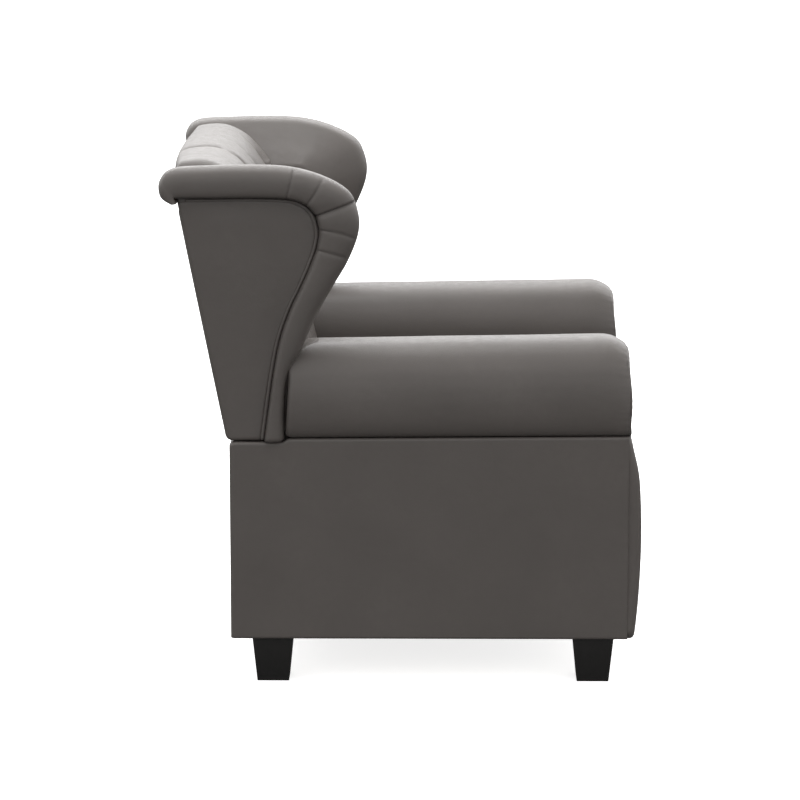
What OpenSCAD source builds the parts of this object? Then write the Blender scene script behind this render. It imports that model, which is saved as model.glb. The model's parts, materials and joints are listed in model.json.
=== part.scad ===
// Push-back wing recliner on four tapered legs.
// The chair faces -Y. Side outlines are drawn as [forward, up] and then laid across X.

/* [Base] */
// Width over the two arm rolls
overall_width = 820; // [790:5:860]
// Distance from the middle to the rear face of the base
rear_face = 331.6; // [325:1:345]
// Depth of the footrest and its padding ahead of the seat frame
front_depth = 82.5; // [78:0.5:95]
// Height of the seam between the base and the back
base_top = 480; // [474:1:490]
// Overhang of an arm roll past the outside panel
roll_overhang = 15; // [5:1:25]
// Thickness of an arm frame and its outside panel together
arm_thickness = 105; // [95:1:115]
// Thickness of the outside panel
panel_thickness = 14; // [8:1:18]
// Thickness of the panel that closes the base at the rear
rear_panel_thickness = 8; // [5:1:10]
// Thickness of the boards of the arm frames
arm_board = 12; // [9:1:18]
// Depth of the bottom rail of an arm frame
bottom_rail = 38; // [30:1:50]
// Front to back size of the arm frame posts
post_size = 40; // [30:1:60]

/* [Legs] */
// Height of a leg
leg_height = 91.5; // [80:0.5:100]
// Side of a leg where it meets the base
leg_top = 80; // [66:1:84]
// Side of a leg at the floor
leg_foot = 59; // [45:1:62]
// Distance of the front legs behind the fullest point of the front
front_leg_inset = 92.5; // [90:0.5:112]
// Distance of the rear legs from the rear face of the base
rear_leg_inset = 82.6; // [70:0.1:110]

/* [Arms] */
// Height of the top of the arms
arm_height = 668; // [658:1:672]
// Diameter of an arm roll
roll_size = 176; // [160:1:180]
// Lean of the rear end of an arm from the vertical
arm_rear_lean = 3.3; // [2:0.1:5]
// Thickness of the padded facing on the front of an arm
facing_thickness = 8; // [6:1:16]

/* [Back] */
// Lean of the back from the vertical
rake = 11.5; // [10:0.5:12.5]
// Length of the rear panel up the back
back_length = 455; // [440:1:460]
// Depth of the back frame
frame_depth = 50; // [40:1:54]
// Thickness of the back's uprights
upright_width = 32; // [25:1:40]
// Thickness of the back cushion at its fullest
cushion_depth = 113; // [100:1:118]
// Spacing of the tufts across the back
tuft_pitch = 140; // [130:1:145]
// Depth of a tuft
tuft_depth = 24; // [0:1:30]
// Thickness of the wing frames
wing_board = 18; // [12:1:20]
// Depth of the pleats round the wing rolls
wing_pleat = 5; // [0:1:8]

/* [Seat] */
// Front to back length of the seat frame
seat_frame_length = 545; // [530:1:555]
// Height of the seat frame's boards
seat_frame_height = 61.8; // [55:0.1:64]
// Thickness of the seat frame's boards
seat_board = 22; // [18:1:25]
// Thickness of the seat cushion at its crown
seat_thickness = 97; // [85:1:100]
// Room between the seat cushion and each arm frame
seat_side_room = 20; // [19:1:40]
// Number of seat springs
spring_count = 5; // [3:1:6]

/* [Mechanism] */
// Thickness of the steel links
plate = 3; // [2.5:0.1:3.4]
// Spacing of the planes that the links lie in
lane = 5; // [4.7:0.1:5.2]
// Length of the hangers that carry the seat
hang = 140; // [138:1:142]
// Lean of the hangers at rest
hang_lean = 3; // [2:0.5:4]
// Recline of the back at its stop
recline = 35; // [20:1:35]
// Turn of the footrest links for each degree of recline
link_ratio = 2.7; // [2.5:0.1:2.7]
// Length of the two footrest links on the seat
link_len = 183; // [180:1:184]
// Lean of those links from straight down at rest
link_lean = 26; // [25:0.5:26]
// Spacing of their pivots on the seat
link_pair = 52; // [51:1:54]
// Spacing of their pivots on the forward link
fork_pair = 55; // [54:1:57]
// Length of the two links that reach the footrest
toe_len = 197.3; // [195:0.5:199]
// Rise of those links from the horizontal
toe_angle = 42.2; // [41:0.2:43]
// Width of a link
link_width = 16; // [14:0.5:16]
// Radius of the pivot pins
pin_r = 4; // [3.5:0.1:4.2]

/* [Footrest] */
// Thickness of the footrest board
foot_board = 15; // [12:1:16]
// Room between the footrest and each arm
foot_side_room = 8; // [5:1:20]
// Height of the footrest's lower edge
foot_bottom = 100; // [96:1:106]

/* [Hidden] */
$fn = 48;

// Clearances
seat_gap = 0.3;
pin_gap = 0.08;
bolt_gap = 0.1;
seam = 5;

// Base outlines
half = overall_width / 2;
panel_out = half - roll_overhang;
panel_in = panel_out - panel_thickness;
frame_in = panel_out - arm_thickness;
back_of_frame = -rear_face + rear_panel_thickness;
seat_rear = -rear_face + 171.6;
seat_front = seat_rear + seat_frame_length;
front_face = seat_front + front_depth;
front_leg = front_face - front_leg_inset;
rear_leg = rear_face - rear_leg_inset;
facing_back = front_face - 27.5;
frame_front = facing_back - 2;
leg_x = (frame_in + panel_in) / 2 + 4.5;
front_arc_r = 1650;
front_arc_z = 291;
roll_x = half - roll_size / 2;
roll_z = arm_height - roll_size / 2;
arm_rear = -rear_face + 112.2;
arm_corner = 56;
core_board = 18;
core_x = roll_x - core_board / 2;
core_top = roll_z + 24;

// Hinges and link pivots at rest
hinge = [-rear_face + 19.6, base_top - 25];
hang_to = [hang * sin(hang_lean), -hang * cos(hang_lean)];
seat_hinge = hinge + hang_to;
front_hinge = [seat_front - 292.3, hinge[1]];
front_pivot = front_hinge + hang_to;
drive_drop = 120;
drive_low = front_hinge + hang_to * (1 + drive_drop / hang);
pivot_a = [seat_front - 93, seat_hinge[1] - 15.2];
link_dir = [-sin(link_lean), -cos(link_lean)];
toe_dir = [cos(toe_angle), sin(toe_angle)];
pivot_b = pivot_a + link_pair * toe_dir;
low_a = pivot_a + link_len * link_dir;
low_b = pivot_b + link_len * link_dir;
fork = low_a - fork_pair * link_dir;
toe_c = low_a + toe_len * toe_dir;
toe_d = fork + toe_len * toe_dir;

// The drive pin runs in a slot, whose two ends follow from the travel
function seat_travel(a) = hang * [sin(hang_lean + a) - sin(hang_lean), cos(hang_lean) - cos(hang_lean + a)];
function drive_path(a) = seat_travel(a) * (drive_drop / hang);
fold = recline * link_ratio;
drive_chord = drive_path(recline);
drive_r = norm(drive_chord) / 2 / sin(fold / 2);
drive_angle = atan2(drive_chord[1], drive_chord[0]) - fold / 2 - 90;
drive_pin = pivot_a + drive_r * [cos(drive_angle), sin(drive_angle)];
drive_near = norm(drive_pin + drive_path(recline / 2) - pivot_a);
slot_r = pin_r + 1.9;

// Seat
seat_low = pivot_b[1] + link_width / 2 + 3;
seat_high = seat_low + seat_frame_height;
seat_half = frame_in - seat_side_room;
rail_in = frame_in - plate - 2 * lane;
seat_board_half = rail_in;
cushion_low = seat_high + seat_gap;
cushion_front = front_face - 20.5;
cushion_rear = seat_rear + 10;

// Footrest
foot_half = frame_in - foot_side_room;
board_back = toe_d[0] + link_width / 2 + 7;
pad_back = board_back + foot_board + seat_gap;
foot_top = cushion_low - 6;
screw_r = 2.5;

// Back frame: w is measured forward from the rear face and v up the back
back_foot = [-rear_face - 4.4, base_top + seam - 1];
function on_back(w, v) = back_foot + w * [cos(rake), sin(rake)] + v * [-sin(rake), cos(rake)];
function back_u(w, z) = back_foot[0] + w / cos(rake) - (z - back_foot[1]) * tan(rake);
back_panel = 10;
frame_w0 = back_panel;
frame_w1 = back_panel + frame_depth;
upright_out = frame_in - plate - lane;
upright_in = upright_out - upright_width;
upright_low = base_top - 82;
upright_step = base_top + 12;
upright_rear = hinge[0] + 10;
rail_v = 25;
low_rail_v = 15;
mid_rail_v = 225;
mid_rail_h = 40;
back_half = frame_in + 7.5;
wing_top = back_foot[1] + back_length * cos(rake) + 14.13;
wing_rise = (wing_top - base_top) / 464;
wing_low = base_top + seam;
wing_in = frame_in + 10;
wing_frame_out = half - 27;
wing_frame_in = wing_frame_out - wing_board;
wing_panel_out = wing_frame_out + 8;
roll_in = frame_in + 10;
tuft_rows = [back_length - 20, back_length - 145, back_length - 270];

// Helpers
function arc(c, r, a0, a1, n) = [for (i = [0 : n]) c + r * [cos(a0 + (a1 - a0) * i / n), sin(a0 + (a1 - a0) * i / n)]];
function flat(l) = [for (a = l) for (b = a) b];
function power(c, n) = sign(c) * pow(abs(c), 2 / n);
function smooth(t) = let (k = min(1, max(0, t))) k * k * (3 - 2 * k);
function bell(x) = exp(-x * x);
function front_u(z) = front_face - front_arc_r + sqrt(pow(front_arc_r, 2) - pow(z - front_arc_z, 2));
function arm_rear_u(z) = arm_rear + (z - base_top) * tan(arm_rear_lean) * 0.9;

// A smooth curve through a list of points: t counts from point to point
function through(p, t) =
  let (n = len(p) - 1, i = min(n - 1, floor(t)), f = t - i,
       a = p[max(0, i - 1)], b = p[i], c = p[i + 1], d = p[min(n, i + 2)])
  0.5 * (2 * b + (c - a) * f + (2 * a - 5 * b + 4 * c - d) * f * f + (3 * b - a - 3 * c + d) * f * f * f);

// Lays a side outline, drawn as [forward, up], across X from x0 to x1
module across(x0, x1) {
  rotate([90, 0, -90]) translate([0, 0, -x1]) linear_extrude(x1 - x0) children();
}

// Lays a front outline, drawn as [x, up], along the chair from u0 to u1
module along(u0, u1) {
  translate([0, -u0, 0]) rotate([90, 0, 0]) linear_extrude(u1 - u0) children();
}

module block(x0, x1, u0, u1, z0, z1) {
  translate([x0, -u1, z0]) cube([x1 - x0, u1 - u0, z1 - z0]);
}

// A rod across X at a side-view point
module rod(p, x0, x1, r) {
  translate([x0, -p[0], p[1]]) rotate([0, 90, 0]) cylinder(h = x1 - x0, r = r);
}

module right_side() {
  mirror([1, 0, 0]) children();
}

module both_sides() {
  children();
  mirror([1, 0, 0]) children();
}

// A closed skin over a row of rings, each with the same number of points
module skin(rings) {
  n = len(rings[0]);
  m = len(rings);
  last = (m - 1) * n;
  sides = [for (i = [0 : m - 2]) for (j = [0 : n - 1])
    let (a = i * n + j, b = i * n + (j + 1) % n, c = b + n, d = a + n) each [[c, b, a], [d, c, a]]];
  ends = [for (j = [1 : n - 2]) each [[0, j, j + 1], [last, last + j + 1, last + j]]];
  polyhedron(flat(rings), concat(sides, ends));
}

// Straight link outline between two pivots
module link_2d(p, q, w) {
  d = (q - p) / norm(q - p);
  n = [-d[1], d[0]] * w / 2;
  polygon([p + n, p - n, q - n, q + n]);
  translate(p) circle(d = w);
  translate(q) circle(d = w);
}

module hole(p) {
  translate(p) circle(r = pin_r + pin_gap);
}

// Inner face of the links in one plane, counted inwards from the base rail
function lane_x(k) = frame_in - plate - lane * k;

// Pin fixed in plane k that carries a link in the next plane inwards
module pivot(p, k) {
  x = lane_x(k);
  next = lane_x(k + 1);
  spare = lane - plate;
  rod(p, next - 0.75 * spare, x + plate, pin_r);
  rod(p, next + plate + 0.1 * spare, x, pin_r + 2.5);
  rod(p, next - 0.9 * spare, next - 0.15 * spare, pin_r + 2.5);
}

// Legs
module leg() {
  color([0.11, 0.11, 0.10]) difference() {
    intersection() {
      across(-leg_top / 2, leg_top / 2)
        polygon([[-leg_foot / 2, 0], [leg_foot / 2, 0], [leg_top / 2, leg_height], [-leg_top / 2, leg_height]]);
      along(-leg_top / 2, leg_top / 2)
        polygon([[-leg_foot / 2, 0], [leg_foot / 2, 0], [leg_top / 2, leg_height], [-leg_top / 2, leg_height]]);
    }
    translate([0, 0, leg_height / 2]) cylinder(h = leg_height, r = leg_bolt_r + bolt_gap);
  }
}
leg_bolt_r = 4;
leg_bolt_end = leg_height + bottom_rail - 8;

module leg_at(x, u) {
  translate([x, -u, 0]) leg();
}

module leg_bolt_places() {
  for (x = [-leg_x, leg_x], u = [front_leg, -rear_leg])
    translate([x, -u, 0]) children();
}

module leg_bolts() {
  color([0.7, 0.7, 0.7]) leg_bolt_places()
    translate([0, 0, leg_height / 2 + 1]) cylinder(h = leg_bolt_end - leg_height / 2 - 1, r = leg_bolt_r);
}

// Arms of the base
module arm_frame() {
  color([0.80, 0.68, 0.48]) {
    block(frame_in, frame_in + arm_board, back_of_frame, frame_front, leg_height, base_top);
    difference() {
      union() {
        block(frame_in + arm_board, panel_in, back_of_frame + post_size, frame_front - post_size,
              leg_height, leg_height + bottom_rail);
        for (u = [back_of_frame, frame_front - post_size])
          block(frame_in + arm_board, panel_in, u, u + post_size, leg_height, base_top);
        block(frame_in + arm_board, panel_in, back_of_frame + post_size, frame_front - post_size,
              base_top - core_board, base_top);
      }
      leg_bolt_places() cylinder(h = leg_bolt_end + 0.5, r = leg_bolt_r + bolt_gap);
    }
    block(core_x, core_x + core_board, arm_rear + 30, frame_front - 12, base_top, core_top);
  }
}

module outside_panel() {
  color([0.34, 0.32, 0.30])
    block(panel_in, panel_out, back_of_frame, facing_back, leg_height, base_top);
}

// Front outline of an arm: the roll above and the neck that stands on the frame
module arm_section(low) {
  translate([roll_x, roll_z]) circle(d = roll_size);
  polygon([[frame_in, low], [panel_out, low], [roll_x + 0.42 * roll_size, roll_z - 0.27 * roll_size],
           [roll_x - 0.42 * roll_size, roll_z - 0.27 * roll_size]]);
}

module arm_roll() {
  corner = [arm_rear_u(arm_height - arm_corner) + arm_corner, arm_height - arm_corner];
  outline = concat(
    [[arm_rear_u(base_top), base_top + seat_gap], [facing_back - seat_gap, base_top + seat_gap],
     [facing_back - seat_gap, arm_height]],
    arc(corner, arm_corner, 90, 180 - arm_rear_lean, 6));
  color([0.42, 0.40, 0.38]) difference() {
    intersection() {
      across(roll_x - roll_size, roll_x + roll_size) polygon(outline);
      along(arm_rear - 10, facing_back) arm_section(base_top + seat_gap);
    }
    block(core_x - seat_gap, core_x + core_board + seat_gap, arm_rear + 30 - seat_gap,
          frame_front - 12 + seat_gap, base_top - 10, core_top + seat_gap);
  }
}

module arm_facing() {
  toe = 20;
  low = leg_height - 2.5;
  side = concat(
    [[facing_back, low], [front_u(low + 6), low + 6]],
    [for (z = [low + 20 : 45 : base_top]) [front_u(z), z]],
    [[facing_back + facing_thickness, base_top + 30], [facing_back + facing_thickness, arm_height],
     [facing_back, arm_height]]);
  color([0.40, 0.38, 0.36]) intersection() {
    across(roll_x - roll_size, roll_x + roll_size) polygon(side);
    along(facing_back, front_face + 10) union() {
      translate([roll_x, roll_z]) circle(d = roll_size);
      polygon(concat(
        arc([frame_in + toe, low + toe], toe, 180, 270, 6),
        arc([panel_out - toe, low + toe], toe, 270, 360, 6),
        [[panel_out, base_top], [roll_x + 0.42 * roll_size, roll_z - 0.27 * roll_size],
         [roll_x - 0.42 * roll_size, roll_z - 0.27 * roll_size], [frame_in, base_top]]));
    }
  }
}

module front_rail() {
  color([0.78, 0.66, 0.46])
    block(-frame_in, frame_in, pivot_a[0] + 43, board_back - 7, leg_height, foot_bottom + 8);
}

module rear_rail() {
  color([0.78, 0.66, 0.46])
    block(-frame_in, frame_in, back_of_frame, back_of_frame + 24, leg_height, leg_height + 58);
}

module rear_base_panel() {
  r = rear_panel_thickness;
  color([0.34, 0.32, 0.30]) across(-panel_out, panel_out) polygon(concat(
    [[-rear_face, leg_height], [-rear_face + r, leg_height]],
    arc([-rear_face + r, base_top - r], r, 90, 180, 5)));
}

// Steel rail that carries the two fixed hinges of one side
rail_height = 34;
rail_screw_u = [hinge[0] + 92, (hinge[0] + front_hinge[0]) / 2 + 40, front_hinge[0] - 50];
module base_rail() {
  rail_r = 10;
  color([0.55, 0.56, 0.58]) {
    difference() {
      across(lane_x(0), frame_in) {
        translate(hinge) circle(r = rail_r);
        translate(front_hinge) circle(r = rail_r);
        polygon([hinge + [0, rail_r], hinge - [0, rail_r], hinge + [25, 15 - rail_height],
                 front_hinge + [-25, 15 - rail_height], front_hinge - [0, rail_r], front_hinge + [0, rail_r]]);
      }
      for (u = rail_screw_u) rod([u, hinge[1] - 4], lane_x(0) - 1, frame_in + 1, screw_r + bolt_gap);
    }
    pivot(hinge, 0);
    pivot(front_hinge, 0);
  }
}

module base_rail_screws() {
  color([0.75, 0.75, 0.76]) both_sides() for (u = rail_screw_u) {
    rod([u, hinge[1] - 4], lane_x(0) - 1.2, frame_in, screw_r);
    rod([u, hinge[1] - 4], lane_x(0) - 1.2, lane_x(0), screw_r + 3);
  }
}

// Back
upright_front_low = [back_u(frame_w1, upright_low), upright_low];
bracket_v = [78, 110, 142];
bracket_low_bolt = [upright_rear + 17, upright_low + 32];
function bracket_bolts() = concat([for (v = bracket_v) on_back((frame_w0 + frame_w1) / 2, v)], [bracket_low_bolt]);

module back_frame() {
  upright_top = back_length - rail_v;
  color([0.80, 0.68, 0.48]) {
    both_sides() difference() {
      across(upright_in, upright_out) polygon([
        [upright_rear, upright_low], upright_front_low, on_back(frame_w1, back_length),
        on_back(frame_w0, back_length), [back_u(frame_w0, upright_step), upright_step],
        [upright_rear, upright_step]]);
      for (p = bracket_bolts()) rod(p, upright_in - 1, upright_out + 1, bolt_r + bolt_gap);
    }
    across(-wing_frame_in, wing_frame_in) rail_outline(upright_top, rail_v);
    across(-upright_in, upright_in) rail_outline(low_rail_v, 45);
    both_sides() across(upright_out, wing_frame_in) rail_outline(low_rail_v + 170, 45);
    across(-upright_in, upright_in) rail_outline(mid_rail_v, mid_rail_h);
  }
}
bolt_r = 3;

module rail_outline(v, height) {
  polygon([on_back(frame_w0, v), on_back(frame_w1 - 4, v), on_back(frame_w1 - 4, v + height),
           on_back(frame_w0, v + height)]);
}

module back_bracket() {
  eye = 10;
  w0 = frame_w0 + 8;
  w1 = frame_w1 - 8;
  top = bracket_v[2] + 14;
  color([0.55, 0.56, 0.58]) {
    difference() {
      across(lane_x(1), lane_x(1) + plate) {
        difference() {
          union() {
            link_2d(seat_hinge, hinge, 2 * eye);
            polygon([[upright_rear, upright_low], upright_front_low + [-4, 0], on_back(w1, top), on_back(w0, top),
                     [back_u(w0, upright_step), upright_step], [upright_rear, upright_step]]);
          }
          hole(hinge);
        }
      }
      for (p = bracket_bolts()) rod(p, lane_x(1) - 1, lane_x(0), bolt_r + bolt_gap);
    }
    pivot(seat_hinge, 1);
  }
}

module back_bracket_bolts() {
  color([0.75, 0.75, 0.76]) both_sides() for (p = bracket_bolts()) {
    rod(p, upright_in - 4, lane_x(1) + plate + 1.5, bolt_r);
    rod(p, lane_x(1) + plate, lane_x(1) + plate + 1.5, bolt_r + 3);
    rod(p, upright_in - 4, upright_in, bolt_r + 2.5);
  }
}

module back_webbing() {
  color([0.20, 0.20, 0.20]) for (v = [75, 145, 290, 360])
    across(-upright_in, upright_in) polygon([
      on_back(frame_w1 - 3, v), on_back(frame_w1 - 0.5, v),
      on_back(frame_w1 - 0.5, v + 50), on_back(frame_w1 - 3, v + 50)]);
}

module rear_back_panel() {
  color([0.34, 0.32, 0.30]) across(-wing_panel_out, wing_panel_out) polygon([
    [back_u(0, wing_low), wing_low], [back_u(back_panel, wing_low), wing_low],
    on_back(back_panel, back_length), on_back(0, back_length)]);
}

// Half outline of the back cushion in [w, v], from the frame's top edge round the front to the rear
cushion_bottom = -112;
bottom_w = frame_w1 + seat_gap;
hook_v = back_length + seat_gap;
front_curve = [[bottom_w + 88, cushion_bottom + 18], [bottom_w + cushion_depth - 8, -30],
               [bottom_w + cushion_depth, 60], [bottom_w + cushion_depth - 12, back_length - 205],
               [bottom_w + 87, back_length - 20]];
crown_v = back_length + 33;
top_curve = [[bottom_w + 87, back_length - 20], [bottom_w + 64, crown_v], [bottom_w + 18, crown_v + 27],
             [24, crown_v + 29], [3, crown_v + 12], [0, crown_v - 13]];
front_steps = 19;
top_steps = 9;
cushion_outline = concat(
  [[bottom_w, hook_v], [bottom_w, cushion_bottom + 8], [bottom_w + 14, cushion_bottom],
   [bottom_w + 66, cushion_bottom]],
  [for (i = [0 : front_steps]) through(front_curve, i * 4 / front_steps)],
  [for (i = [1 : top_steps]) through(top_curve, i * 5 / top_steps)],
  [[0, hook_v]]);

// How far a point of the cushion's face is drawn in, across x and up v
function odd_gap(p) = abs(p / 2 - 0.5 - round(p / 2 - 0.5)) * 2;
function tuft(x, v) =
  let (p = 2 * x / tuft_pitch, q = (v - tuft_rows[0]) / (tuft_rows[0] - tuft_rows[1]),
       a = odd_gap(p + q), b = odd_gap(p - q),
       low = tuft_rows[2], high = tuft_rows[0])
  v > high ? 8 * bell(odd_gap(p) / 0.22) + (tuft_depth - 8) * bell(odd_gap(p) / 0.4) * bell((v - high) / 24)
  : v > low ? 7 * max(bell(a / 0.2), bell(b / 0.2)) + (tuft_depth - 7) * bell(sqrt(a * a + b * b) / 0.42)
  : (7 * bell(odd_gap(p) / 0.22) * smooth((v + 60) / 200)
     + (tuft_depth - 7) * bell(odd_gap(p) / 0.4) * bell((v - low) / 24));

// The face also runs back at its two sides, and behind the arm rolls low down
function side_draw(f, x, w, v) =
  10 * smooth((f - 0.86) / 0.14)
  + max(0, w - max(bottom_w + 40, 108 + 0.26 * v + 1.3 * max(0, v - 150)))
    * smooth((x - (roll_x - roll_size / 2 - 30)) / 24);

function cushion_point(f, p) =
  let (wide = back_half - 21 * (1 - smooth((p[1] + 2) / 8)), x = f * wide,
       inner = (p[0] <= bottom_w && p[1] < hook_v + 1) || (p[1] < cushion_bottom + 1 && p[0] < bottom_w + 40),
       over = p[1] > crown_v,
       d = inner ? 0 : tuft(x, p[1]) + side_draw(abs(f), abs(x), p[0], p[1]),
       k = over ? smooth((p[1] - crown_v) / 30) : 0,
       w = p[0] - d * (1 - k) * (p[0] < 10 ? 0.1 : 1), v = p[1] - d * k,
       q = on_back(w, v))
  [x, -q[0], q[1]];

module back_cushion() {
  columns = 34;
  color([0.52, 0.50, 0.48]) skin([for (i = [0 : columns])
    let (f = 1 - 2 * i / columns) [for (p = cushion_outline) cushion_point(f, p)]]);
}

// Buttons sit in the tufts
function face_w(v) = [for (i = [4 : front_steps + 4])
  let (p = cushion_outline[i], q = cushion_outline[i + 1])
  if (p[1] <= v && q[1] > v) p[0] + (q[0] - p[0]) * (v - p[1]) / (q[1] - p[1])][0];
module back_buttons() {
  color([0.45, 0.43, 0.41]) for (r = [0 : 2])
    for (x = r == 1 ? [-tuft_pitch, 0, tuft_pitch] : [-1.5, -0.5, 0.5, 1.5] * tuft_pitch) {
      q = on_back(face_w(tuft_rows[r]) - tuft_depth + 3.5, tuft_rows[r]);
      translate([x, -q[0], q[1]]) rotate([90 + rake, 0, 0]) cylinder(h = 5, r = 10);
    }
}

// Wings: the crease where each roll meets its frame, and the roll's outer edge
crease_line = [
  [-433, 464], [-432, 464], [-430, 464], [-424, 464], [-360, 464], [-290, 464], [-222, 464],
  [-190, 459], [-170, 441], [-161, 415], [-160, 388], [-170, 347], [-190, 302], [-212, 258],
  [-231, 201], [-244, 125], [-262, seam]];
edge_line = [
  [-443, 466], [-461.5, 500], [-452, 526], [-424, 537.5], [-360, 538], [-290, 537], [-207, 537],
  [-147, 518], [-100, 487], [-82, 447], [-83, 400], [-104, 348], [-132, 298], [-164, 246],
  [-194, 178], [-224, 122], [-229.5, seam]];
wing_steps = 2;
wing_rings = (len(crease_line) - 1) * wing_steps;
function wing_point(p) = [p[0], base_top + p[1] * wing_rise];
function wing_crease(i) = wing_point(through(crease_line, i / wing_steps));
function wing_edge(i) = wing_point(through(edge_line, i / wing_steps));
pleats = [12, 14, 17, 20, 22];
function pleat(i) = wing_pleat * max([for (p = pleats) bell((i - p) / 0.6)]);

function roll_ring(i) =
  let (c = wing_crease(i), e = wing_edge(i), reach = norm(e - c), d = (e - c) / reach,
       size = reach - pleat(i), tuck = 38, xc = (roll_in + half) / 2, xw = (half - roll_in) / 2)
  [for (j = [0 : 11])
    let (a = -tuck + (180 + 2 * tuck) * j / 11,
         out = size * (sin(a) + sin(tuck)) / (1 + sin(tuck)), q = c + d * (out + seat_gap))
    [xc + xw * cos(a), -q[0], q[1]]];

module wing_roll() {
  color([0.50, 0.48, 0.46]) skin([for (i = [0 : wing_rings]) roll_ring(i)]);
}

// Side outline inside the crease, in front of the line w up the back
module wing_outline(w) {
  first = 4 * wing_steps;
  polygon(concat(
    [[back_u(w, wing_low), wing_low], [back_u(w, wing_top), wing_top]],
    [for (i = [first : wing_rings]) wing_crease(i) - [seat_gap, 0]]));
}

module wing_frame() {
  color([0.80, 0.68, 0.48]) across(wing_frame_in, wing_frame_out) wing_outline(frame_w0);
}

module wing_panel() {
  color([0.36, 0.34, 0.32]) across(wing_frame_out, wing_panel_out) wing_outline(frame_w0);
}

module wing_lining() {
  color([0.48, 0.46, 0.44]) across(wing_in, wing_frame_in) wing_outline(frame_w1);
}

// Seat
module seat_frame() {
  color([0.80, 0.68, 0.48]) {
    both_sides() difference() {
      block(seat_board_half - seat_board, seat_board_half, seat_rear, seat_front, seat_low, seat_high);
      for (u = seat_bolt_u) rod([u, seat_bolt_z], 0, half, bolt_r + bolt_gap);
    }
    for (u = [seat_rear, seat_front - seat_board])
      block(-seat_board_half + seat_board, seat_board_half - seat_board, u, u + seat_board, seat_low, seat_high);
  }
}
seat_bolt_u = [seat_rear + 40, (seat_rear + seat_front) / 2 - 2.5, seat_front - 45];
seat_bolt_z = seat_low + 14;

// A zigzag wire from the rear board to the front board
module seat_springs() {
  wire = 2;
  swing = 22;
  turns = 7;
  inner = seat_frame_length - 2 * seat_board;
  steps = turns * 12;
  function mid(i) = [swing * sin(360 * turns * i / steps), seat_rear + seat_board + inner * i / steps];
  function way(i) = let (d = mid(i + 0.5) - mid(i - 0.5)) [d[1], -d[0]] / norm(d) * wire;
  pitch = (2 * seat_board_half - 120) / spring_count;
  color([0.6, 0.6, 0.62]) for (k = [0 : spring_count - 1])
    translate([(k - (spring_count - 1) / 2) * pitch, 0, seat_high - 6]) linear_extrude(4)
      mirror([0, 1]) intersection() {
        polygon(concat([for (i = [-1 : steps + 1]) mid(i) + way(i)], [for (i = [steps + 1 : -1 : -1]) mid(i) - way(i)]));
        translate([-swing - 10, seat_rear + seat_board]) square([2 * swing + 20, inner]);
      }
}

module seat_cushion() {
  rows = 22;
  n = 24;
  length = cushion_front - cushion_rear;
  height = cushion_low + seat_thickness / 2;
  color([0.50, 0.48, 0.46]) skin([for (i = [0 : rows])
    let (t = -cos(180 * i / rows) * 0.999, u = (cushion_front + cushion_rear) / 2 + length / 2 * t,
         k = pow(1 - pow(abs(t), 6), 1 / 6), flat_k = pow(1 - pow(abs(t), 24), 1 / 24))
    [for (j = [0 : n - 1])
      let (a = 360 * j / n, sharp = sin(a) > 0 ? 3 : 6, x = power(cos(a), sharp),
           s = power(sin(a), sharp), z = s > 0 ? s * k : max(-1, s / 0.95) * flat_k)
      [seat_half * (0.9 + 0.1 * k) * x, -u, height + seat_thickness / 2 * z]]]);
}

// Steel rail bolted along each side of the seat frame
module seat_rail() {
  lobe = 12;
  low = front_pivot[1] - lobe;
  high = seat_low + 27;
  x = lane_x(2);
  color([0.55, 0.56, 0.58]) {
    difference() {
      across(x, x + plate) difference() {
        union() {
          translate(seat_hinge) circle(r = lobe);
          polygon([seat_hinge + [0, lobe], seat_hinge - [0, lobe], [front_pivot[0], low], [seat_front - 30, low],
                   [seat_front - 4, low + 30], [seat_front - 4, high], [seat_rear - 10, high]]);
          translate(pivot_a) circle(r = lobe);
        }
        hole(seat_hinge);
        hole(front_pivot);
      }
      for (u = seat_bolt_u) rod([u, seat_bolt_z], 0, half, bolt_r + bolt_gap);
    }
    pivot(pivot_a, 2);
    pivot(pivot_b, 2);
  }
}

module seat_rail_bolts() {
  inner = seat_board_half - seat_board;
  color([0.75, 0.75, 0.76]) both_sides() for (u = seat_bolt_u) {
    rod([u, seat_bolt_z], inner - 4, rail_in + plate + 1.5, bolt_r);
    rod([u, seat_bolt_z], rail_in + plate, rail_in + plate + 1.5, bolt_r + 3);
    rod([u, seat_bolt_z], inner - 4, inner, bolt_r + 2.5);
  }
}

// Links
module steel() {
  color([0.62, 0.63, 0.65]) children();
}

module front_hanger() {
  x = lane_x(1);
  steel() {
    across(x, x + plate) difference() {
      link_2d(front_hinge, drive_low, link_width + 6);
      hole(front_hinge);
    }
    pivot(front_pivot, 1);
    pivot(drive_low, 1);
  }
}

module drive_link() {
  x = lane_x(2);
  steel() {
    across(x, x + plate) difference() {
      link_2d(drive_low, drive_pin, link_width);
      hole(drive_low);
    }
    pivot(drive_pin, 2);
  }
}

function from_a(r, a) = pivot_a + r * [cos(a), sin(a)];

module link_a() {
  x = lane_x(3);
  steel() {
    across(x, x + plate) difference() {
      union() {
        link_2d(pivot_a, low_a, link_width);
        link_2d(from_a(drive_near, drive_angle), from_a(drive_r, drive_angle), 2 * slot_r + 8);
      }
      hole(pivot_a);
      link_2d(from_a(drive_near, drive_angle), from_a(drive_r, drive_angle), 2 * slot_r);
    }
    pivot(low_a, 3);
    pivot(fork, 3);
  }
}

module link_b() {
  x = lane_x(3);
  steel() {
    across(x, x + plate) difference() {
      link_2d(pivot_b, low_b, link_width);
      hole(pivot_b);
    }
    pivot(low_b, 3);
  }
}

module link_c() {
  x = lane_x(4);
  steel() {
    across(x, x + plate) difference() {
      link_2d(low_a, toe_c, link_width);
      hole(low_a);
      hole(low_b);
    }
    pivot(toe_c, 4);
  }
}

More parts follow.
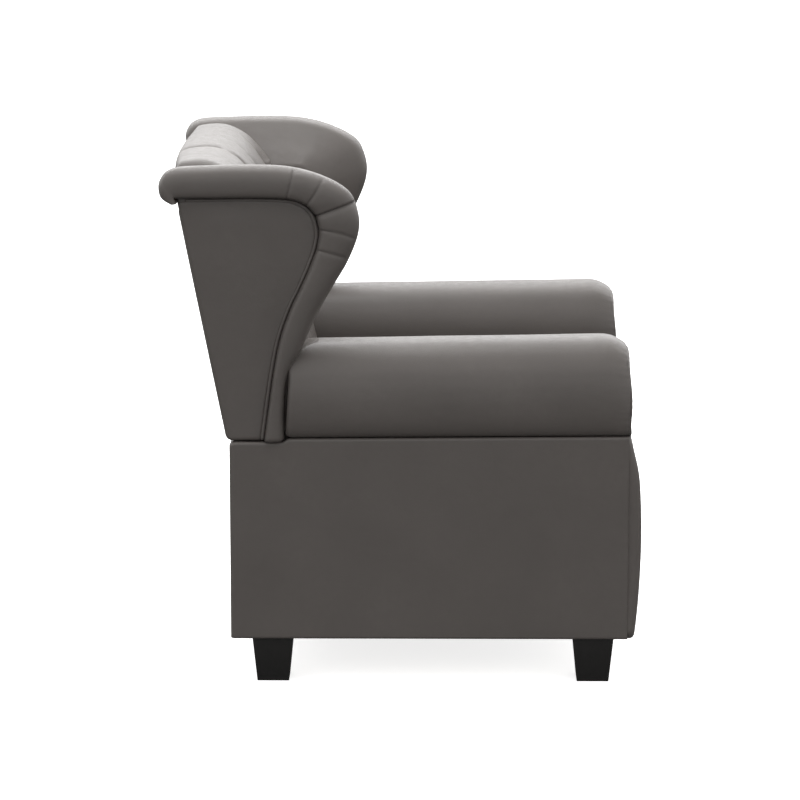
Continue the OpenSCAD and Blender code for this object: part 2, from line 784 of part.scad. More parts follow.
module link_d() {
  x = lane_x(4);
  steel() {
    across(x, x + plate) difference() {
      link_2d(fork, toe_d, link_width);
      hole(fork);
    }
    pivot(toe_d, 4);
  }
}

tube_r = 6;
module cross_tube() {
  steel() difference() {
    rod(pivot_a + 80 * link_dir, -lane_x(3), lane_x(3), tube_r);
    rod(pivot_a + 80 * link_dir, -lane_x(3) - 1, lane_x(3) + 1, tube_r - 1.5);
  }
}

// Footrest
flange_z = [toe_c[1] - 40, toe_d[1] + 8];
screw_z = [flange_z[0] + 12, flange_z[1] - 14];
flange_in = lane_x(5) - 24;
module screw_holes(u0, u1) {
  for (x = [-1, 1] * (lane_x(5) - 13), z = screw_z)
    translate([x, -u0, z]) rotate([90, 0, 0]) cylinder(h = u1 - u0, r = screw_r + bolt_gap);
}

module footrest_board() {
  color([0.80, 0.68, 0.48]) difference() {
    block(-foot_half + 10, foot_half - 10, board_back, board_back + foot_board, foot_bottom + 3, foot_top - 2);
    screw_holes(board_back - 1, board_back + foot_board + 1);
  }
}

module footrest_pad() {
  rows = 16;
  n = 20;
  middle = (foot_bottom + foot_top) / 2;
  rise = (foot_top - foot_bottom) / 2;
  color([0.46, 0.44, 0.42]) skin([for (i = [0 : rows])
    let (t = -cos(180 * i / rows) * 0.999, z = middle + rise * t, deep = front_u(z) - pad_back,
         k = pow(1 - pow(abs(t), 8), 1 / 8))
    [for (j = [0 : n - 1])
      let (a = 360 * j / n, x = power(cos(a), 7), y = power(sin(a), 7))
      [foot_half * (0.96 + 0.04 * k) * x, -pad_back - deep / 2 + deep / 2 * k * y, z]]]);
}

module footrest_bracket() {
  x = lane_x(5);
  r = 9;
  color([0.55, 0.56, 0.58]) difference() {
    union() {
      across(x, x + plate) difference() {
        union() {
          link_2d(toe_c, toe_d, 2 * r);
          polygon([toe_c + [0, -r], [board_back, flange_z[0]], [board_back, flange_z[1]], toe_d + [0, r],
                   toe_c]);
        }
        hole(toe_c);
        hole(toe_d);
      }
      block(flange_in, x + plate, board_back - plate, board_back, flange_z[0], flange_z[1]);
    }
    screw_holes(board_back - plate - 1, board_back + 1);
  }
}

module footrest_screws() {
  color([0.75, 0.75, 0.76]) for (x = [-1, 1] * (lane_x(5) - 13), z = screw_z)
    translate([x, -board_back + plate, z]) rotate([90, 0, 0]) {
      cylinder(h = plate + foot_board - 2, r = screw_r);
      translate([0, 0, -1.5]) cylinder(h = 1.5, r = screw_r + 2.5);
    }
}

leg_at(leg_x, front_leg);  // front_left_leg
leg_at(-leg_x, front_leg);  // front_right_leg
leg_at(leg_x, -rear_leg);  // rear_left_leg
leg_at(-leg_x, -rear_leg);  // rear_right_leg
leg_bolts();
arm_frame();  // left_arm_frame
right_side() arm_frame();  // right_arm_frame
outside_panel();  // left_outside_panel
right_side() outside_panel();  // right_outside_panel
arm_roll();  // left_arm_roll
right_side() arm_roll();  // right_arm_roll
arm_facing();  // left_arm_facing
right_side() arm_facing();  // right_arm_facing
front_rail();
rear_rail();
rear_base_panel();
base_rail();  // left_base_rail
right_side() base_rail();  // right_base_rail
base_rail_screws();
back_frame();
back_bracket();  // left_back_bracket
right_side() back_bracket();  // right_back_bracket
back_bracket_bolts();
back_webbing();
back_cushion();
back_buttons();
rear_back_panel();
wing_frame();  // left_wing_frame
right_side() wing_frame();  // right_wing_frame
wing_panel();  // left_wing_panel
right_side() wing_panel();  // right_wing_panel
wing_roll();  // left_wing_roll
right_side() wing_roll();  // right_wing_roll
wing_lining();  // left_wing_lining
right_side() wing_lining();  // right_wing_lining
seat_frame();
seat_springs();
seat_cushion();
seat_rail();  // left_seat_rail
right_side() seat_rail();  // right_seat_rail
seat_rail_bolts();
front_hanger();  // left_front_hanger
right_side() front_hanger();  // right_front_hanger
drive_link();  // left_drive_link
right_side() drive_link();  // right_drive_link
link_a();  // left_link_a
right_side() link_a();  // right_link_a
link_b();  // left_link_b
right_side() link_b();  // right_link_b
link_c();  // left_link_c
right_side() link_c();  // right_link_c
link_d();  // left_link_d
right_side() link_d();  // right_link_d
cross_tube();
footrest_board();
footrest_pad();
footrest_bracket();  // left_footrest_bracket
right_side() footrest_bracket();  // right_footrest_bracket
footrest_screws();
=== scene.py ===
# Push-back wing recliner: covers, padding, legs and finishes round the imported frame.
# Shapes are worked out in millimetres as [across, forward, up] and placed in metres.
import json
import math

import bmesh
import bpy
import numpy as np
from mathutils import Matrix, Vector
from mathutils.bvhtree import BVHTree


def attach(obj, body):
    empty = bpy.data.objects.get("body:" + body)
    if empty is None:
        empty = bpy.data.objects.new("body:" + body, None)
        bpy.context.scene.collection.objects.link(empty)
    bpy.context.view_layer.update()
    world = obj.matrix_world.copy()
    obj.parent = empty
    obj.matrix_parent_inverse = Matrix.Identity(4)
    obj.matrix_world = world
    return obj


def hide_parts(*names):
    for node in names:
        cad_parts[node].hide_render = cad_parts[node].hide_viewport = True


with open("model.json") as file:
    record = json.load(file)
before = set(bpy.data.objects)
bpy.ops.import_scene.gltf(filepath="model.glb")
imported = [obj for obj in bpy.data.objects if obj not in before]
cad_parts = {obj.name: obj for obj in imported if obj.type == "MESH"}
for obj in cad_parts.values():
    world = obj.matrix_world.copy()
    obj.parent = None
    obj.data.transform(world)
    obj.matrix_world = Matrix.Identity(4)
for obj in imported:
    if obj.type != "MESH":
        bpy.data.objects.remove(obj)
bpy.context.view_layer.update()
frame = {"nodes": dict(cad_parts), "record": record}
scene = bpy.context.scene

# Sizes of the frame that the covers follow
BASE_TOP = 480.0
BASE_LOW = 91.5
REAR_FACE = -331.6
FRONT_FACE = 467.5
PANEL_OUT = 395.0
ARM_IN = 290.0
FACING_BACK = 440.0
ROLL_X = 322.0
ROLL_Z = 580.0
RAKE = math.radians(11.5)
BACK_FOOT = np.array([-336.0, 484.0])
BACK_LENGTH = 455.0
WING_LOW = 485.0
WING_FOOT = 483.3
WING_TOP = 944.0
WING_SIDE = 383.2
CUSHION_HALF = 297.5
CUSHION_REAR = 60.3
FOOT_PAD_REAR = 412.6


# Curves and small sums
def through(points, t):
    """A smooth curve through a row of points, read at numbered places along it."""
    p = np.asarray(points, float)
    t = np.asarray(t, float)
    n = len(p) - 1
    i = np.clip(np.floor(t).astype(int), 0, n - 1)
    f = (t - i)[..., None]
    a = p[np.maximum(0, i - 1)]
    b = p[i]
    c = p[i + 1]
    d = p[np.minimum(n, i + 2)]
    cubic = (3 * b - a - 3 * c + d) * f ** 3
    return 0.5 * (2 * b + (c - a) * f + (2 * a - 5 * b + 4 * c - d) * f * f + cubic)


def soft_step(x):
    k = np.clip(x, 0, 1)
    return k * k * (3 - 2 * k)


def bell(x):
    return np.exp(-np.square(x))


def arch(share, power):
    """Rises from nothing at both ends of a run to one in its middle; a lower power makes it fuller."""
    return np.maximum(0, np.sin(np.pi * np.clip(share, 0, 1))) ** power


def bulge(x, power):
    """A power that keeps its sign: below one, it squares a circle."""
    return np.sign(x) * np.abs(x) ** power


def grid(x, u, z):
    """Points from any mix of grids and plain numbers."""
    return np.stack(np.broadcast_arrays(x, u, z), -1)


def round_edge(distance, radius):
    """How far a padded edge falls away, from its distance to the border."""
    k = 1 - np.clip(distance / radius, 0, 1)
    return radius * (1 - np.sqrt(np.maximum(0, 1 - k * k)))


def on_back(w, v):
    """Place at w in front of the back's rear face and v up along it, as forward and up."""
    u = BACK_FOOT[0] + w * math.cos(RAKE) - v * math.sin(RAKE)
    z = BACK_FOOT[1] + w * math.sin(RAKE) + v * math.cos(RAKE)
    return u, z


def back_u(w, z):
    """How far forward the line w in front of the back's rear face is at a height."""
    return BACK_FOOT[0] + w / math.cos(RAKE) - (z - BACK_FOOT[1]) * math.tan(RAKE)


def front_u(z):
    """The bowed front of the base and the footrest."""
    return FRONT_FACE - 1650 + np.sqrt(1650 ** 2 - np.square(z - 291))


def bend(start, lead_out, end, lead_in, count):
    """A smooth run between two points that leaves and arrives along given directions."""
    t = np.linspace(0, 1, count)[:, None]
    a = 2 * t ** 3 - 3 * t ** 2 + 1
    b = t ** 3 - 2 * t ** 2 + t
    c = -2 * t ** 3 + 3 * t ** 2
    d = t ** 3 - t ** 2
    return a * np.array(start) + b * np.array(lead_out) + c * np.array(end) + d * np.array(lead_in)


# Meshes
def place(points):
    p = np.asarray(points, float).reshape(-1, 3)
    return np.stack([p[:, 0], -p[:, 1], p[:, 2]], 1) * 0.001


def deselect():
    bpy.ops.object.select_all(action="DESELECT")


def piece_from(name, points, faces, mirrored=False):
    p = place(points)
    if mirrored:
        p[:, 0] *= -1
    mesh = bpy.data.meshes.new(name)
    mesh.from_pydata(p.tolist(), [], faces)
    piece = bpy.data.objects.new(name, mesh)
    scene.collection.objects.link(piece)
    tidy_mesh(mesh)
    return piece


def tidy_mesh(mesh):
    bm = bmesh.new()
    bm.from_mesh(mesh)
    bmesh.ops.remove_doubles(bm, verts=bm.verts, dist=2e-6)
    bmesh.ops.dissolve_degenerate(bm, dist=1e-6, edges=bm.edges)
    bmesh.ops.recalc_face_normals(bm, faces=bm.faces)
    bm.to_mesh(mesh)
    bm.free()
    mesh.polygons.foreach_set("use_smooth", [True] * len(mesh.polygons))
    mesh.update()


def skin(name, rings, mirrored=False):
    """A closed cover over a row of rings, with a middle point at each end."""
    rings = np.asarray(rings, float)
    m, n = rings.shape[:2]
    points = np.concatenate([rings.reshape(-1, 3), rings[:1].mean(1), rings[-1:].mean(1)])
    j = np.arange(n)
    k = (j + 1) % n
    faces = []
    for i in range(m - 1):
        a = i * n
        faces += np.stack([a + j, a + k, a + n + k, a + n + j], 1).tolist()
    last = (m - 1) * n
    faces += np.stack([k, j, np.full(n, m * n)], 1).tolist()
    faces += np.stack([last + j, last + k, np.full(n, m * n + 1)], 1).tolist()
    return piece_from(name, points, faces, mirrored)


def pad(name, face, back, mirrored=False):
    """A closed pad between a shaped face and a flat back, both given as grids of points."""
    face = np.asarray(face, float)
    back = np.asarray(back, float)
    m, n = face.shape[:2]
    points = np.concatenate([face.reshape(-1, 3), back.reshape(-1, 3)])
    size = m * n
    i, j = np.meshgrid(np.arange(m - 1), np.arange(n - 1), indexing="ij")
    a = (i * n + j).ravel()
    faces = np.stack([a, a + 1, a + n + 1, a + n], 1).tolist()
    faces += np.stack([a + size, a + n + size, a + n + 1 + size, a + 1 + size], 1).tolist()
    rim = [(0, q) for q in range(n)] + [(p, n - 1) for p in range(1, m)]
    rim += [(m - 1, q) for q in range(n - 2, -1, -1)] + [(p, 0) for p in range(m - 2, 0, -1)]
    rim = [p * n + q for p, q in rim]
    for p, q in zip(rim, rim[1:] + rim[:1]):
        faces.append([q, p, p + size, q + size])
    return piece_from(name, points, faces, mirrored)


def tube(name, path, radius, mirrored=False, sides=10):
    """Piping: a round cord of leather along a path."""
    p = np.asarray(path, float)
    ahead = np.gradient(p, axis=0)
    ahead /= np.linalg.norm(ahead, axis=1)[:, None]
    side = np.zeros_like(p)
    previous = np.cross(ahead[0], [0.31, 0.17, 0.93])
    for i, a in enumerate(ahead):
        s = previous - a * previous.dot(a)
        previous = s / np.linalg.norm(s)
        side[i] = previous
    up = np.cross(ahead, side)
    angle = np.linspace(0, 2 * np.pi, sides, endpoint=False)
    c, s = np.cos(angle)[None, :, None], np.sin(angle)[None, :, None]
    rings = p[:, None] + radius * (c * side[:, None] + s * up[:, None])
    return skin(name, rings, mirrored)


def closed_skin(name, rings):
    """A cover over a row of rings whose last ring meets the first."""
    m, n = rings.shape[:2]
    faces = []
    for i in range(m):
        a, b = i * n, (i + 1) % m * n
        for j in range(n):
            k = (j + 1) % n
            faces.append([a + j, a + k, b + k, b + j])
    return piece_from(name, rings.reshape(-1, 3), faces)


def read(rows, key):
    """A vector for each row of a mesh."""
    values = np.empty(len(rows) * 3)
    rows.foreach_get(key, values)
    return values.reshape(-1, 3)


def net_of(mesh):
    """The two ends of every edge, and how many neighbours each point has."""
    ends = np.empty(len(mesh.edges) * 2, int)
    mesh.edges.foreach_get("vertices", ends)
    return ends[0::2], ends[1::2], np.bincount(ends, minlength=len(mesh.vertices))


def around(values, net):
    """The mean of what each point's neighbours carry."""
    a, b, number = net
    total = np.zeros_like(values)
    for at, other in ((a, b), (b, a)):
        for axis in range(values.shape[1]):
            total[:, axis] += np.bincount(at, values[other, axis], len(values))
    return total / number[:, None]


def evened(values, net, times):
    """Evens out what each point carries with what its neighbours carry."""
    for _ in range(times):
        values = 0.5 * values + 0.5 * around(values, net)
    return values


def mark_crease_shade_and_wear(piece):
    """Notes where the cover is drawn in, for painted shade in its hollows, and where it stands proud, for
    rubbed wear.
    """
    mesh = piece.data
    co = read(mesh.vertices, "co")
    net = net_of(mesh)
    length = np.linalg.norm(co[net[0]] - co[net[1]], axis=1)
    span = sum(np.bincount(ends, length, len(co)) for ends in net[:2]) / net[2]
    drawn = ((around(co, net) - co) * read(mesh.vertices, "normal")).sum(1)
    hollow = evened((drawn / np.maximum(span, 1e-6) ** 2 * 0.004)[:, None], net, 2)[:, 0]
    # fold holds painted shade for the hollows; rub holds wear on the proud parts
    for name, sign in (("fold", 1), ("rub", -1)):
        layer = mesh.attributes.new(name, "FLOAT", "POINT")
        layer.data.foreach_set("value", np.clip(sign * hollow / 0.45, 0, 1).astype(np.float32))


# Finishes
class Nodes:
    """A node tree with short ways to add nodes and join them."""

    def __init__(self, tree):
        self.tree = tree

    def join(self, socket, value):
        if hasattr(value, "is_linked"):
            self.tree.links.new(value, socket)
        elif socket.type == "RGBA" and len(value) == 3:
            socket.default_value = (*value, 1)
        else:
            socket.default_value = value

    def set(self, node, **values):
        for key, value in values.items():
            self.join(node.inputs[key], value)

    def add(self, kind, settings=None, **values):
        node = self.tree.nodes.new("ShaderNode" + kind)
        for key, value in (settings or {}).items():
            setattr(node, key, value)
        self.set(node, **values)
        return node

    def remap(self, value, low, high, to_low, to_high, kind="LINEAR"):
        ends = {"From Min": low, "From Max": high, "To Min": to_low, "To Max": to_high}
        return self.add("MapRange", {"interpolation_type": kind}, Value=value, **ends).outputs["Result"]

    def sum(self, kind, a, b):
        node = self.add("Math", {"operation": kind})
        self.join(node.inputs[0], a)
        self.join(node.inputs[1], b)
        return node.outputs[0]


class Finish(Nodes):
    """A material, whose patterns lie on Object coordinates."""

    def __init__(self, name, colour, roughness, **sockets):
        self.material = bpy.data.materials.new(name)
        self.material.use_nodes = True
        super().__init__(self.material.node_tree)
        self.shader = self.tree.nodes["Principled BSDF"]
        self.set(self.shader, **{"Base Color": colour, "Roughness": roughness}, **sockets)
        self.material.diffuse_color = (*colour, 1)
        self.coord = self.add("TexCoord").outputs["Object"]

    def noise(self, scale, detail=3.0, vector=None, **values):
        node = self.add("TexNoise", Scale=scale, Detail=detail, Vector=vector or self.coord, **values)
        return node.outputs["Fac"]

    def cells(self, scale):
        node = self.add("TexVoronoi", {"feature": "DISTANCE_TO_EDGE"}, Scale=scale, Vector=self.coord)
        return node.outputs["Distance"]

    def stretched(self, scale):
        return self.add("Mapping", Vector=self.coord, Scale=scale).outputs["Vector"]

    def reading(self, name):
        return self.add("Attribute", {"attribute_name": name}).outputs["Fac"]

    def blend(self, factor, a, b):
        node = self.add("Mix", {"data_type": "RGBA"})
        for number, value in ((0, factor), (6, a), (7, b)):
            self.join(node.inputs[number], value)
        return node.outputs[2]

    def relief(self, height, depth, strength=1.0, under=None):
        node = self.add("Bump", Height=height, Distance=depth, Strength=strength)
        if under:
            self.join(node.inputs["Normal"], under)
        return node.outputs["Normal"]

    def use(self, shade, rough=None, normal=None):
        for key, value in (("Base Color", shade), ("Roughness", rough), ("Normal", normal)):
            if value is not None:
                self.join(self.shader.inputs[key], value)
        return self.material


def tint(colour, k):
    """The colour made lighter or darker."""
    return tuple(min(1.0, c * k) for c in colour)


def taupe_leather():
    colour = (0.0976, 0.0866, 0.0796)
    f = Finish("taupe_leather", colour, 0.42, **{"Specular IOR Level": 0.5, "IOR": 1.48})
    clouds = f.noise(7.0, 4.0)
    mottle = f.noise(70.0, 3.0)
    fold = f.reading("fold")
    rub = f.reading("rub")
    shade = f.blend(f.remap(clouds, 0.3, 0.7, 0, 1), tint(colour, 0.93), tint(colour, 1.07))
    shade = f.blend(f.remap(mottle, 0.35, 0.65, 0, 0.5), shade, tint(colour, 0.97))
    # Painted shade: the leather is darkened where the cover is drawn in, in its creases and hollows
    shade = f.blend(f.sum("MULTIPLY", fold, 0.7), shade, tint(colour, 0.45))
    shade = f.blend(f.sum("MULTIPLY", rub, 0.25), shade, tint(colour, 1.3))
    pebble = f.cells(620.0)
    fine = f.noise(900.0, 2.0)
    wrinkle = f.noise(46.0, 5.0, f.stretched((1.0, 0.7, 1.25)), Distortion=0.8)
    grain = f.sum("ADD", f.remap(pebble, 0.0, 0.25, 0, 1), f.sum("MULTIPLY", fine, 0.35))
    normal = f.relief(wrinkle, 0.0012, 0.22)
    normal = f.relief(grain, 0.00018, 0.55, normal)
    rough = f.remap(mottle, 0.3, 0.7, 0.37, 0.46)
    rough = f.sum("ADD", rough, f.sum("MULTIPLY", fold, 0.12))
    return f.use(shade, rough, normal)


def dark_leg_wood():
    colour = (0.0052, 0.0048, 0.0046)
    f = Finish("dark_leg_wood", colour, 0.42, **{"Coat Weight": 0.05, "Coat Roughness": 0.3})
    lines = f.noise(60.0, 6.0, f.stretched((9.0, 9.0, 0.7)), Distortion=0.6)
    shade = f.blend(f.remap(lines, 0.35, 0.7, 0, 1), tint(colour, 0.75), tint(colour, 1.5))
    shade = f.blend(f.sum("MULTIPLY", f.reading("rub"), 0.3), shade, (0.05, 0.045, 0.04))
    return f.use(shade, f.remap(lines, 0.3, 0.7, 0.36, 0.5), f.relief(lines, 0.0004, 0.35))


def frame_timber():
    colour = (0.52, 0.36, 0.20)
    f = Finish("frame_timber", colour, 0.62)
    lines = f.noise(16.0, 7.0, f.stretched((14.0, 1.2, 3.0)), Distortion=1.2)
    pores = f.noise(380.0, 2.0, f.stretched((4.0, 0.5, 1.0)))
    shade = f.blend(f.remap(lines, 0.35, 0.65, 0, 1), (0.42, 0.27, 0.14), (0.60, 0.43, 0.25))
    shade = f.blend(f.remap(pores, 0.55, 0.75, 0, 0.5), shade, (0.28, 0.17, 0.09))
    return f.use(shade, f.remap(lines, 0.3, 0.7, 0.55, 0.7), f.relief(pores, 0.0003, 0.4))


def rolled_steel(name, colour, roughness, coat):
    f = Finish(name, colour, roughness, **{"Metallic": 1.0, "Coat Weight": coat})
    streaks = f.noise(240.0, 4.0, f.stretched((6.0, 0.6, 1.0)))
    stains = f.noise(28.0, 4.0)
    shade = f.blend(f.remap(stains, 0.35, 0.7, 0, 1), tint(colour, 0.82), tint(colour, 1.06))
    rough = f.remap(streaks, 0.3, 0.7, roughness - 0.07, roughness + 0.07)
    rough = f.sum("ADD", rough, f.remap(stains, 0.4, 0.7, 0, 0.08))
    return f.use(shade, rough, f.relief(streaks, 0.00012, 0.3))


def painted_steel():
    colour = (0.100, 0.100, 0.105)
    f = Finish("painted_steel", colour, 0.38, **{"Coat Weight": 0.25, "Coat Roughness": 0.22})
    dust = f.noise(18.0, 5.0)
    orange_peel = f.noise(420.0, 2.0)
    shade = f.blend(f.remap(dust, 0.35, 0.7, 0, 1), tint(colour, 0.86), tint(colour, 1.12))
    rough = f.sum("ADD", f.remap(dust, 0.35, 0.7, 0.34, 0.44), f.sum("MULTIPLY", orange_peel, 0.03))
    return f.use(shade, rough, f.relief(orange_peel, 0.00015, 0.35))


def elastic_webbing():
    colour = (0.035, 0.035, 0.038)
    f = Finish("elastic_webbing", colour, 0.85, **{"Sheen Weight": 0.3})
    across = f.add("TexWave", {"bands_direction": "X"}, Scale=160.0, Vector=f.coord).outputs["Fac"]
    along = f.add("TexWave", {"bands_direction": "Z"}, Scale=95.0, Vector=f.coord).outputs["Fac"]
    weave = f.sum("MULTIPLY", across, along)
    shade = f.blend(weave, tint(colour, 0.6), tint(colour, 2.2))
    return f.use(shade, normal=f.relief(weave, 0.0005, 0.7))


def studio_floor():
    f = Finish("studio_floor", (0.93, 0.93, 0.925), 0.7, **{
        "Specular IOR Level": 0.15, "Emission Color": (1, 1, 1), "Emission Strength": 0.75})
    soft = f.noise(1.5, 2.0)
    return f.use(f.blend(soft, (0.925, 0.925, 0.92), (0.935, 0.935, 0.93)))


LEATHER = taupe_leather()
LEG_WOOD = dark_leg_wood()
TIMBER = frame_timber()
LINK_STEEL = painted_steel()
SPRING_STEEL = rolled_steel("spring_steel", (0.20, 0.20, 0.21), 0.45, 0.1)
BOLT_STEEL = rolled_steel("bolt_steel", (0.62, 0.60, 0.55), 0.30, 0.05)
WEBBING = elastic_webbing()


def dress(piece, finish, body, slot, *nodes, fill=None):
    """Gives a piece its finish and the body it rides on, and hides the frame nodes that it stands in for."""
    piece.data.materials.clear()
    piece.data.materials.append(finish)
    if finish is LEATHER or finish is LEG_WOOD:
        mark_crease_shade_and_wear(piece)
    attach(piece, body)
    if nodes:
        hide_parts(*nodes)


def cover(piece, body, *nodes, fill=0.9):
    """Dresses a piece of leather upholstery."""
    dress(piece, LEATHER, body, "upholstery", *nodes, fill=fill)


# Camera and light
SKY_GLOW = 1.2
FLOOR_GLOW = 0.14
FAR_GLOW = 0.9


def side_camera():
    """The camera at the photograph's angle, looking at the sitter's right side."""
    scene.view_settings.view_transform = "Standard"
    distance, yaw, pitch = 7.31, math.radians(0.58), math.radians(11.48)
    target = Vector((0.0, 0.005, 0.485))
    ahead = Vector((math.cos(pitch) * math.cos(yaw), math.cos(pitch) * math.sin(yaw), -math.sin(pitch)))
    data = bpy.data.cameras.new("side_camera")
    data.sensor_width = 36.0
    data.lens = 3602 / 800 * 36.0
    data.clip_end = 60.0
    data.dof.use_dof = False
    camera = bpy.data.objects.new("side_camera", data)
    camera.location = target - ahead * distance
    camera.rotation_euler = ahead.to_track_quat("-Z", "Y").to_euler()
    scene.collection.objects.link(camera)
    scene.camera = camera


def softbox(name, stand, aim, width, height, power):
    """A lit panel that the camera doesn't see."""
    light = bpy.data.lights.new(name, "AREA")
    light.shape = "RECTANGLE"
    light.size = width
    light.size_y = height
    light.energy = power
    lamp = bpy.data.objects.new(name, light)
    lamp.location = stand
    lamp.rotation_euler = (Vector(aim) - Vector(stand)).to_track_quat("-Z", "Y").to_euler()
    lamp.visible_camera = False
    scene.collection.objects.link(lamp)


def studio():
    """Soft light from above and from the far side, and a pale floor."""
    softbox("overhead_softbox", (0.4, 0.0, 4.2), (0.0, 0.0, 0.5), 2.6, 2.6, 30)
    softbox("far_softbox", (2.26, 0.1, 2.91), (0.0, 0.0, 0.65), 5.0, 0.9, 84)
    softbox("inner_softbox", (-0.25, 0.26, 1.75), (0.34, 0.24, 0.8), 0.7, 0.3, 4)
    world = bpy.data.worlds.new("studio")
    world.use_nodes = True
    sky = Nodes(world.node_tree)
    way = sky.add("SeparateXYZ", Vector=sky.add("TexCoord").outputs["Generated"]).outputs
    above = sky.remap(way["Z"], -0.02, 0.02, FLOOR_GLOW, SKY_GLOW, "SMOOTHSTEP")
    behind = sky.remap(way["X"], 0.1, 0.9, 0.0, FAR_GLOW, "SMOOTHSTEP")
    low = sky.remap(way["Z"], 0.35, 0.8, 1.0, 0.0, "SMOOTHSTEP")
    up = sky.remap(way["Z"], -0.02, 0.02, 0.0, 1.0, "SMOOTHSTEP")
    extra = sky.sum("MULTIPLY", sky.sum("MULTIPLY", behind, low), up)
    sky.set(sky.tree.nodes["Background"], Color=(1, 1, 1), Strength=sky.sum("ADD", above, extra))
    scene.world = world
    deselect()
    bpy.ops.mesh.primitive_grid_add(x_subdivisions=12, y_subdivisions=12, size=240, location=(0, 0, 0))
    floor = bpy.context.object
    floor.name = "floor"
    floor.visible_diffuse = False
    floor.visible_glossy = False
    floor.data.materials.append(studio_floor())


side_camera()
studio()


# Legs
def tapered_leg(name, x, u):
    top, foot, height = 0.080, 0.062, 0.0915
    deselect()
    bpy.ops.mesh.primitive_cube_add(size=1, location=(x, -u, height / 2), scale=(top, top, height))
    leg = bpy.context.object
    leg.name = leg.data.name = name
    bpy.ops.object.transform_apply(location=True, rotation=True, scale=True)
    bpy.ops.object.mode_set(mode="EDIT")
    bpy.ops.mesh.select_mode(type="FACE")
    pick(leg, lambda face: face.normal.z < -0.9)
    bpy.ops.transform.resize(value=(foot / top, foot / top, 1), center_override=(x, -u, 0))
    bpy.ops.mesh.inset(thickness=0.007, depth=0)
    bpy.ops.mesh.extrude_region_move(TRANSFORM_OT_translate={"value": (0, 0, 0.0012)})
    bpy.ops.mesh.select_all(action="SELECT")
    bpy.ops.mesh.bevel(offset=0.0022, segments=3, profile=0.6, affect="EDGES", clamp_overlap=True)
    bpy.ops.mesh.normals_make_consistent(inside=False)
    bpy.ops.object.mode_set(mode="OBJECT")
    bpy.ops.object.shade_smooth_by_angle(angle=math.radians(35))
    return leg


def pick(piece, wanted):
    """Selects the faces of a piece in edit mode that a test picks out."""
    bpy.ops.mesh.select_all(action="DESELECT")
    bm = bmesh.from_edit_mesh(piece.data)
    bm.normal_update()
    for face in bm.faces:
        face.select = bool(wanted(face))
    bm.select_flush(True)
    bmesh.update_edit_mesh(piece.data)


LEG_X = 0.5 * (ARM_IN + 381) + 4.5
for end, forward in (("front", 375), ("rear", -249)):
    for side, sign in (("left", 1), ("right", -1)):
        node = end + "_" + side + "_leg"
        leg = tapered_leg("tapered_" + node, sign * LEG_X * 0.001, forward * 0.001)
        dress(leg, LEG_WOOD, "base", "dark_wood", node)


# Base covers
def spread(low, high, count, ends=1.0):
    """Numbers from low to high that crowd towards both ends."""
    t = np.linspace(0, 1, count)
    eased = 0.5 - 0.5 * np.cos(np.pi * t)
    return low + (high - low) * (ends * eased + (1 - ends) * t)


def crease_z(u):
    """Height of the seam between the base and what stands on it."""
    under_arm = 488.5 + (u + 190) * 0.008
    return 481.3 + (under_arm - 481.3) * soft_step((u + 227) / 12)


def side_cover(name, mirrored):
    low = BASE_LOW - 1.0
    u = spread(REAR_FACE + 1.5, FACING_BACK + 0.5, 190)
    share = spread(0, 1, 90)
    U, S = np.meshgrid(u, share, indexing="ij")
    high = crease_z(U)
    Z = low + (high - low) * S
    to_top = high - Z
    fall = round_edge(U - u[0], 10) + round_edge(u[-1] - U, 1.5)
    fall = fall + round_edge(Z - low, 5) + round_edge(to_top, 5.5)
    crown = 1.6 * arch((U - u[0]) / (u[-1] - u[0]), 0.7) * arch(S, 0.7)
    slack = 0.35 * np.sin(U / 47 + Z / 90) * np.sin(Z / 61 + 1.1) * arch(S, 1)
    X = PANEL_OUT - np.minimum(fall, 12.5) + crown + slack
    U = U + round_edge(to_top, 9) * np.exp(-np.square((U - u[0]) / 30))
    return pad(name, grid(X, U, Z), grid(PANEL_OUT - 13.5, U, Z), mirrored)


def rear_base_cover():
    low, high = BASE_LOW - 1.0, BASE_TOP + 0.8
    half = PANEL_OUT - 9
    x = spread(-half, half, 140)
    z = spread(low, high, 80)
    X, Z = np.meshgrid(x, z, indexing="ij")
    fall = round_edge(half - np.abs(X), 4) + round_edge(high - Z, 9) + round_edge(Z - low, 5)
    crown = 1.4 * arch((X + half) / (2 * half), 0.6) * arch((Z - low) / (high - low), 0.7)
    U = REAR_FACE + 2.2 + np.minimum(fall, 10) - crown
    return pad("rear_base_cover", grid(X, U, Z), grid(X, REAR_FACE + 12.6, Z))


def base_top_cover(name, mirrored):
    """Leather over the top of an arm frame, under the wing."""
    x = spread(ARM_IN + 0.5, PANEL_OUT - 10, 16)
    u = spread(REAR_FACE + 9, -205, 30)
    X, U = np.meshgrid(x, u, indexing="ij")
    Z = BASE_TOP + 1.3 - round_edge(U - u[0], 1.1)
    return pad(name, grid(X, U, Z), grid(X, U, BASE_TOP - 0.2), mirrored)


def inner_arm_cover(name, mirrored, u0, u1, low, high):
    """Leather on part of the inner face of an arm frame."""
    u = spread(u0, u1, 60)
    z = spread(low, high, 60)
    U, Z = np.meshgrid(u, z, indexing="ij")
    fall = round_edge(U - u[0], 1.4) + round_edge(Z - z[0], 1.4)
    X = ARM_IN - 1.7 + np.minimum(fall, 1.5)
    return pad(name, grid(X, U, Z), grid(ARM_IN + 0.1, U, Z), mirrored)


def front_rail_cover():
    """Leather over the top, the front and the underside of the rail between the front feet."""
    section = [
        (337, 109.3), (362, 109.4), (388.5, 109.2), (391.2, 106.5), (391.5, 99), (391.2, 93), (388.5, 90.3),
        (376, 90.2), (362, 90.2)]
    u, z = through(section, np.linspace(0, 8, 57)).T
    x = spread(-ARM_IN + 1.9, ARM_IN - 1.9, 60)[:, None]
    return pad("front_rail_cover", grid(x, u, z), grid(x, np.clip(u, 335.2, 389.8), np.clip(z, 91.7, 107.8)))


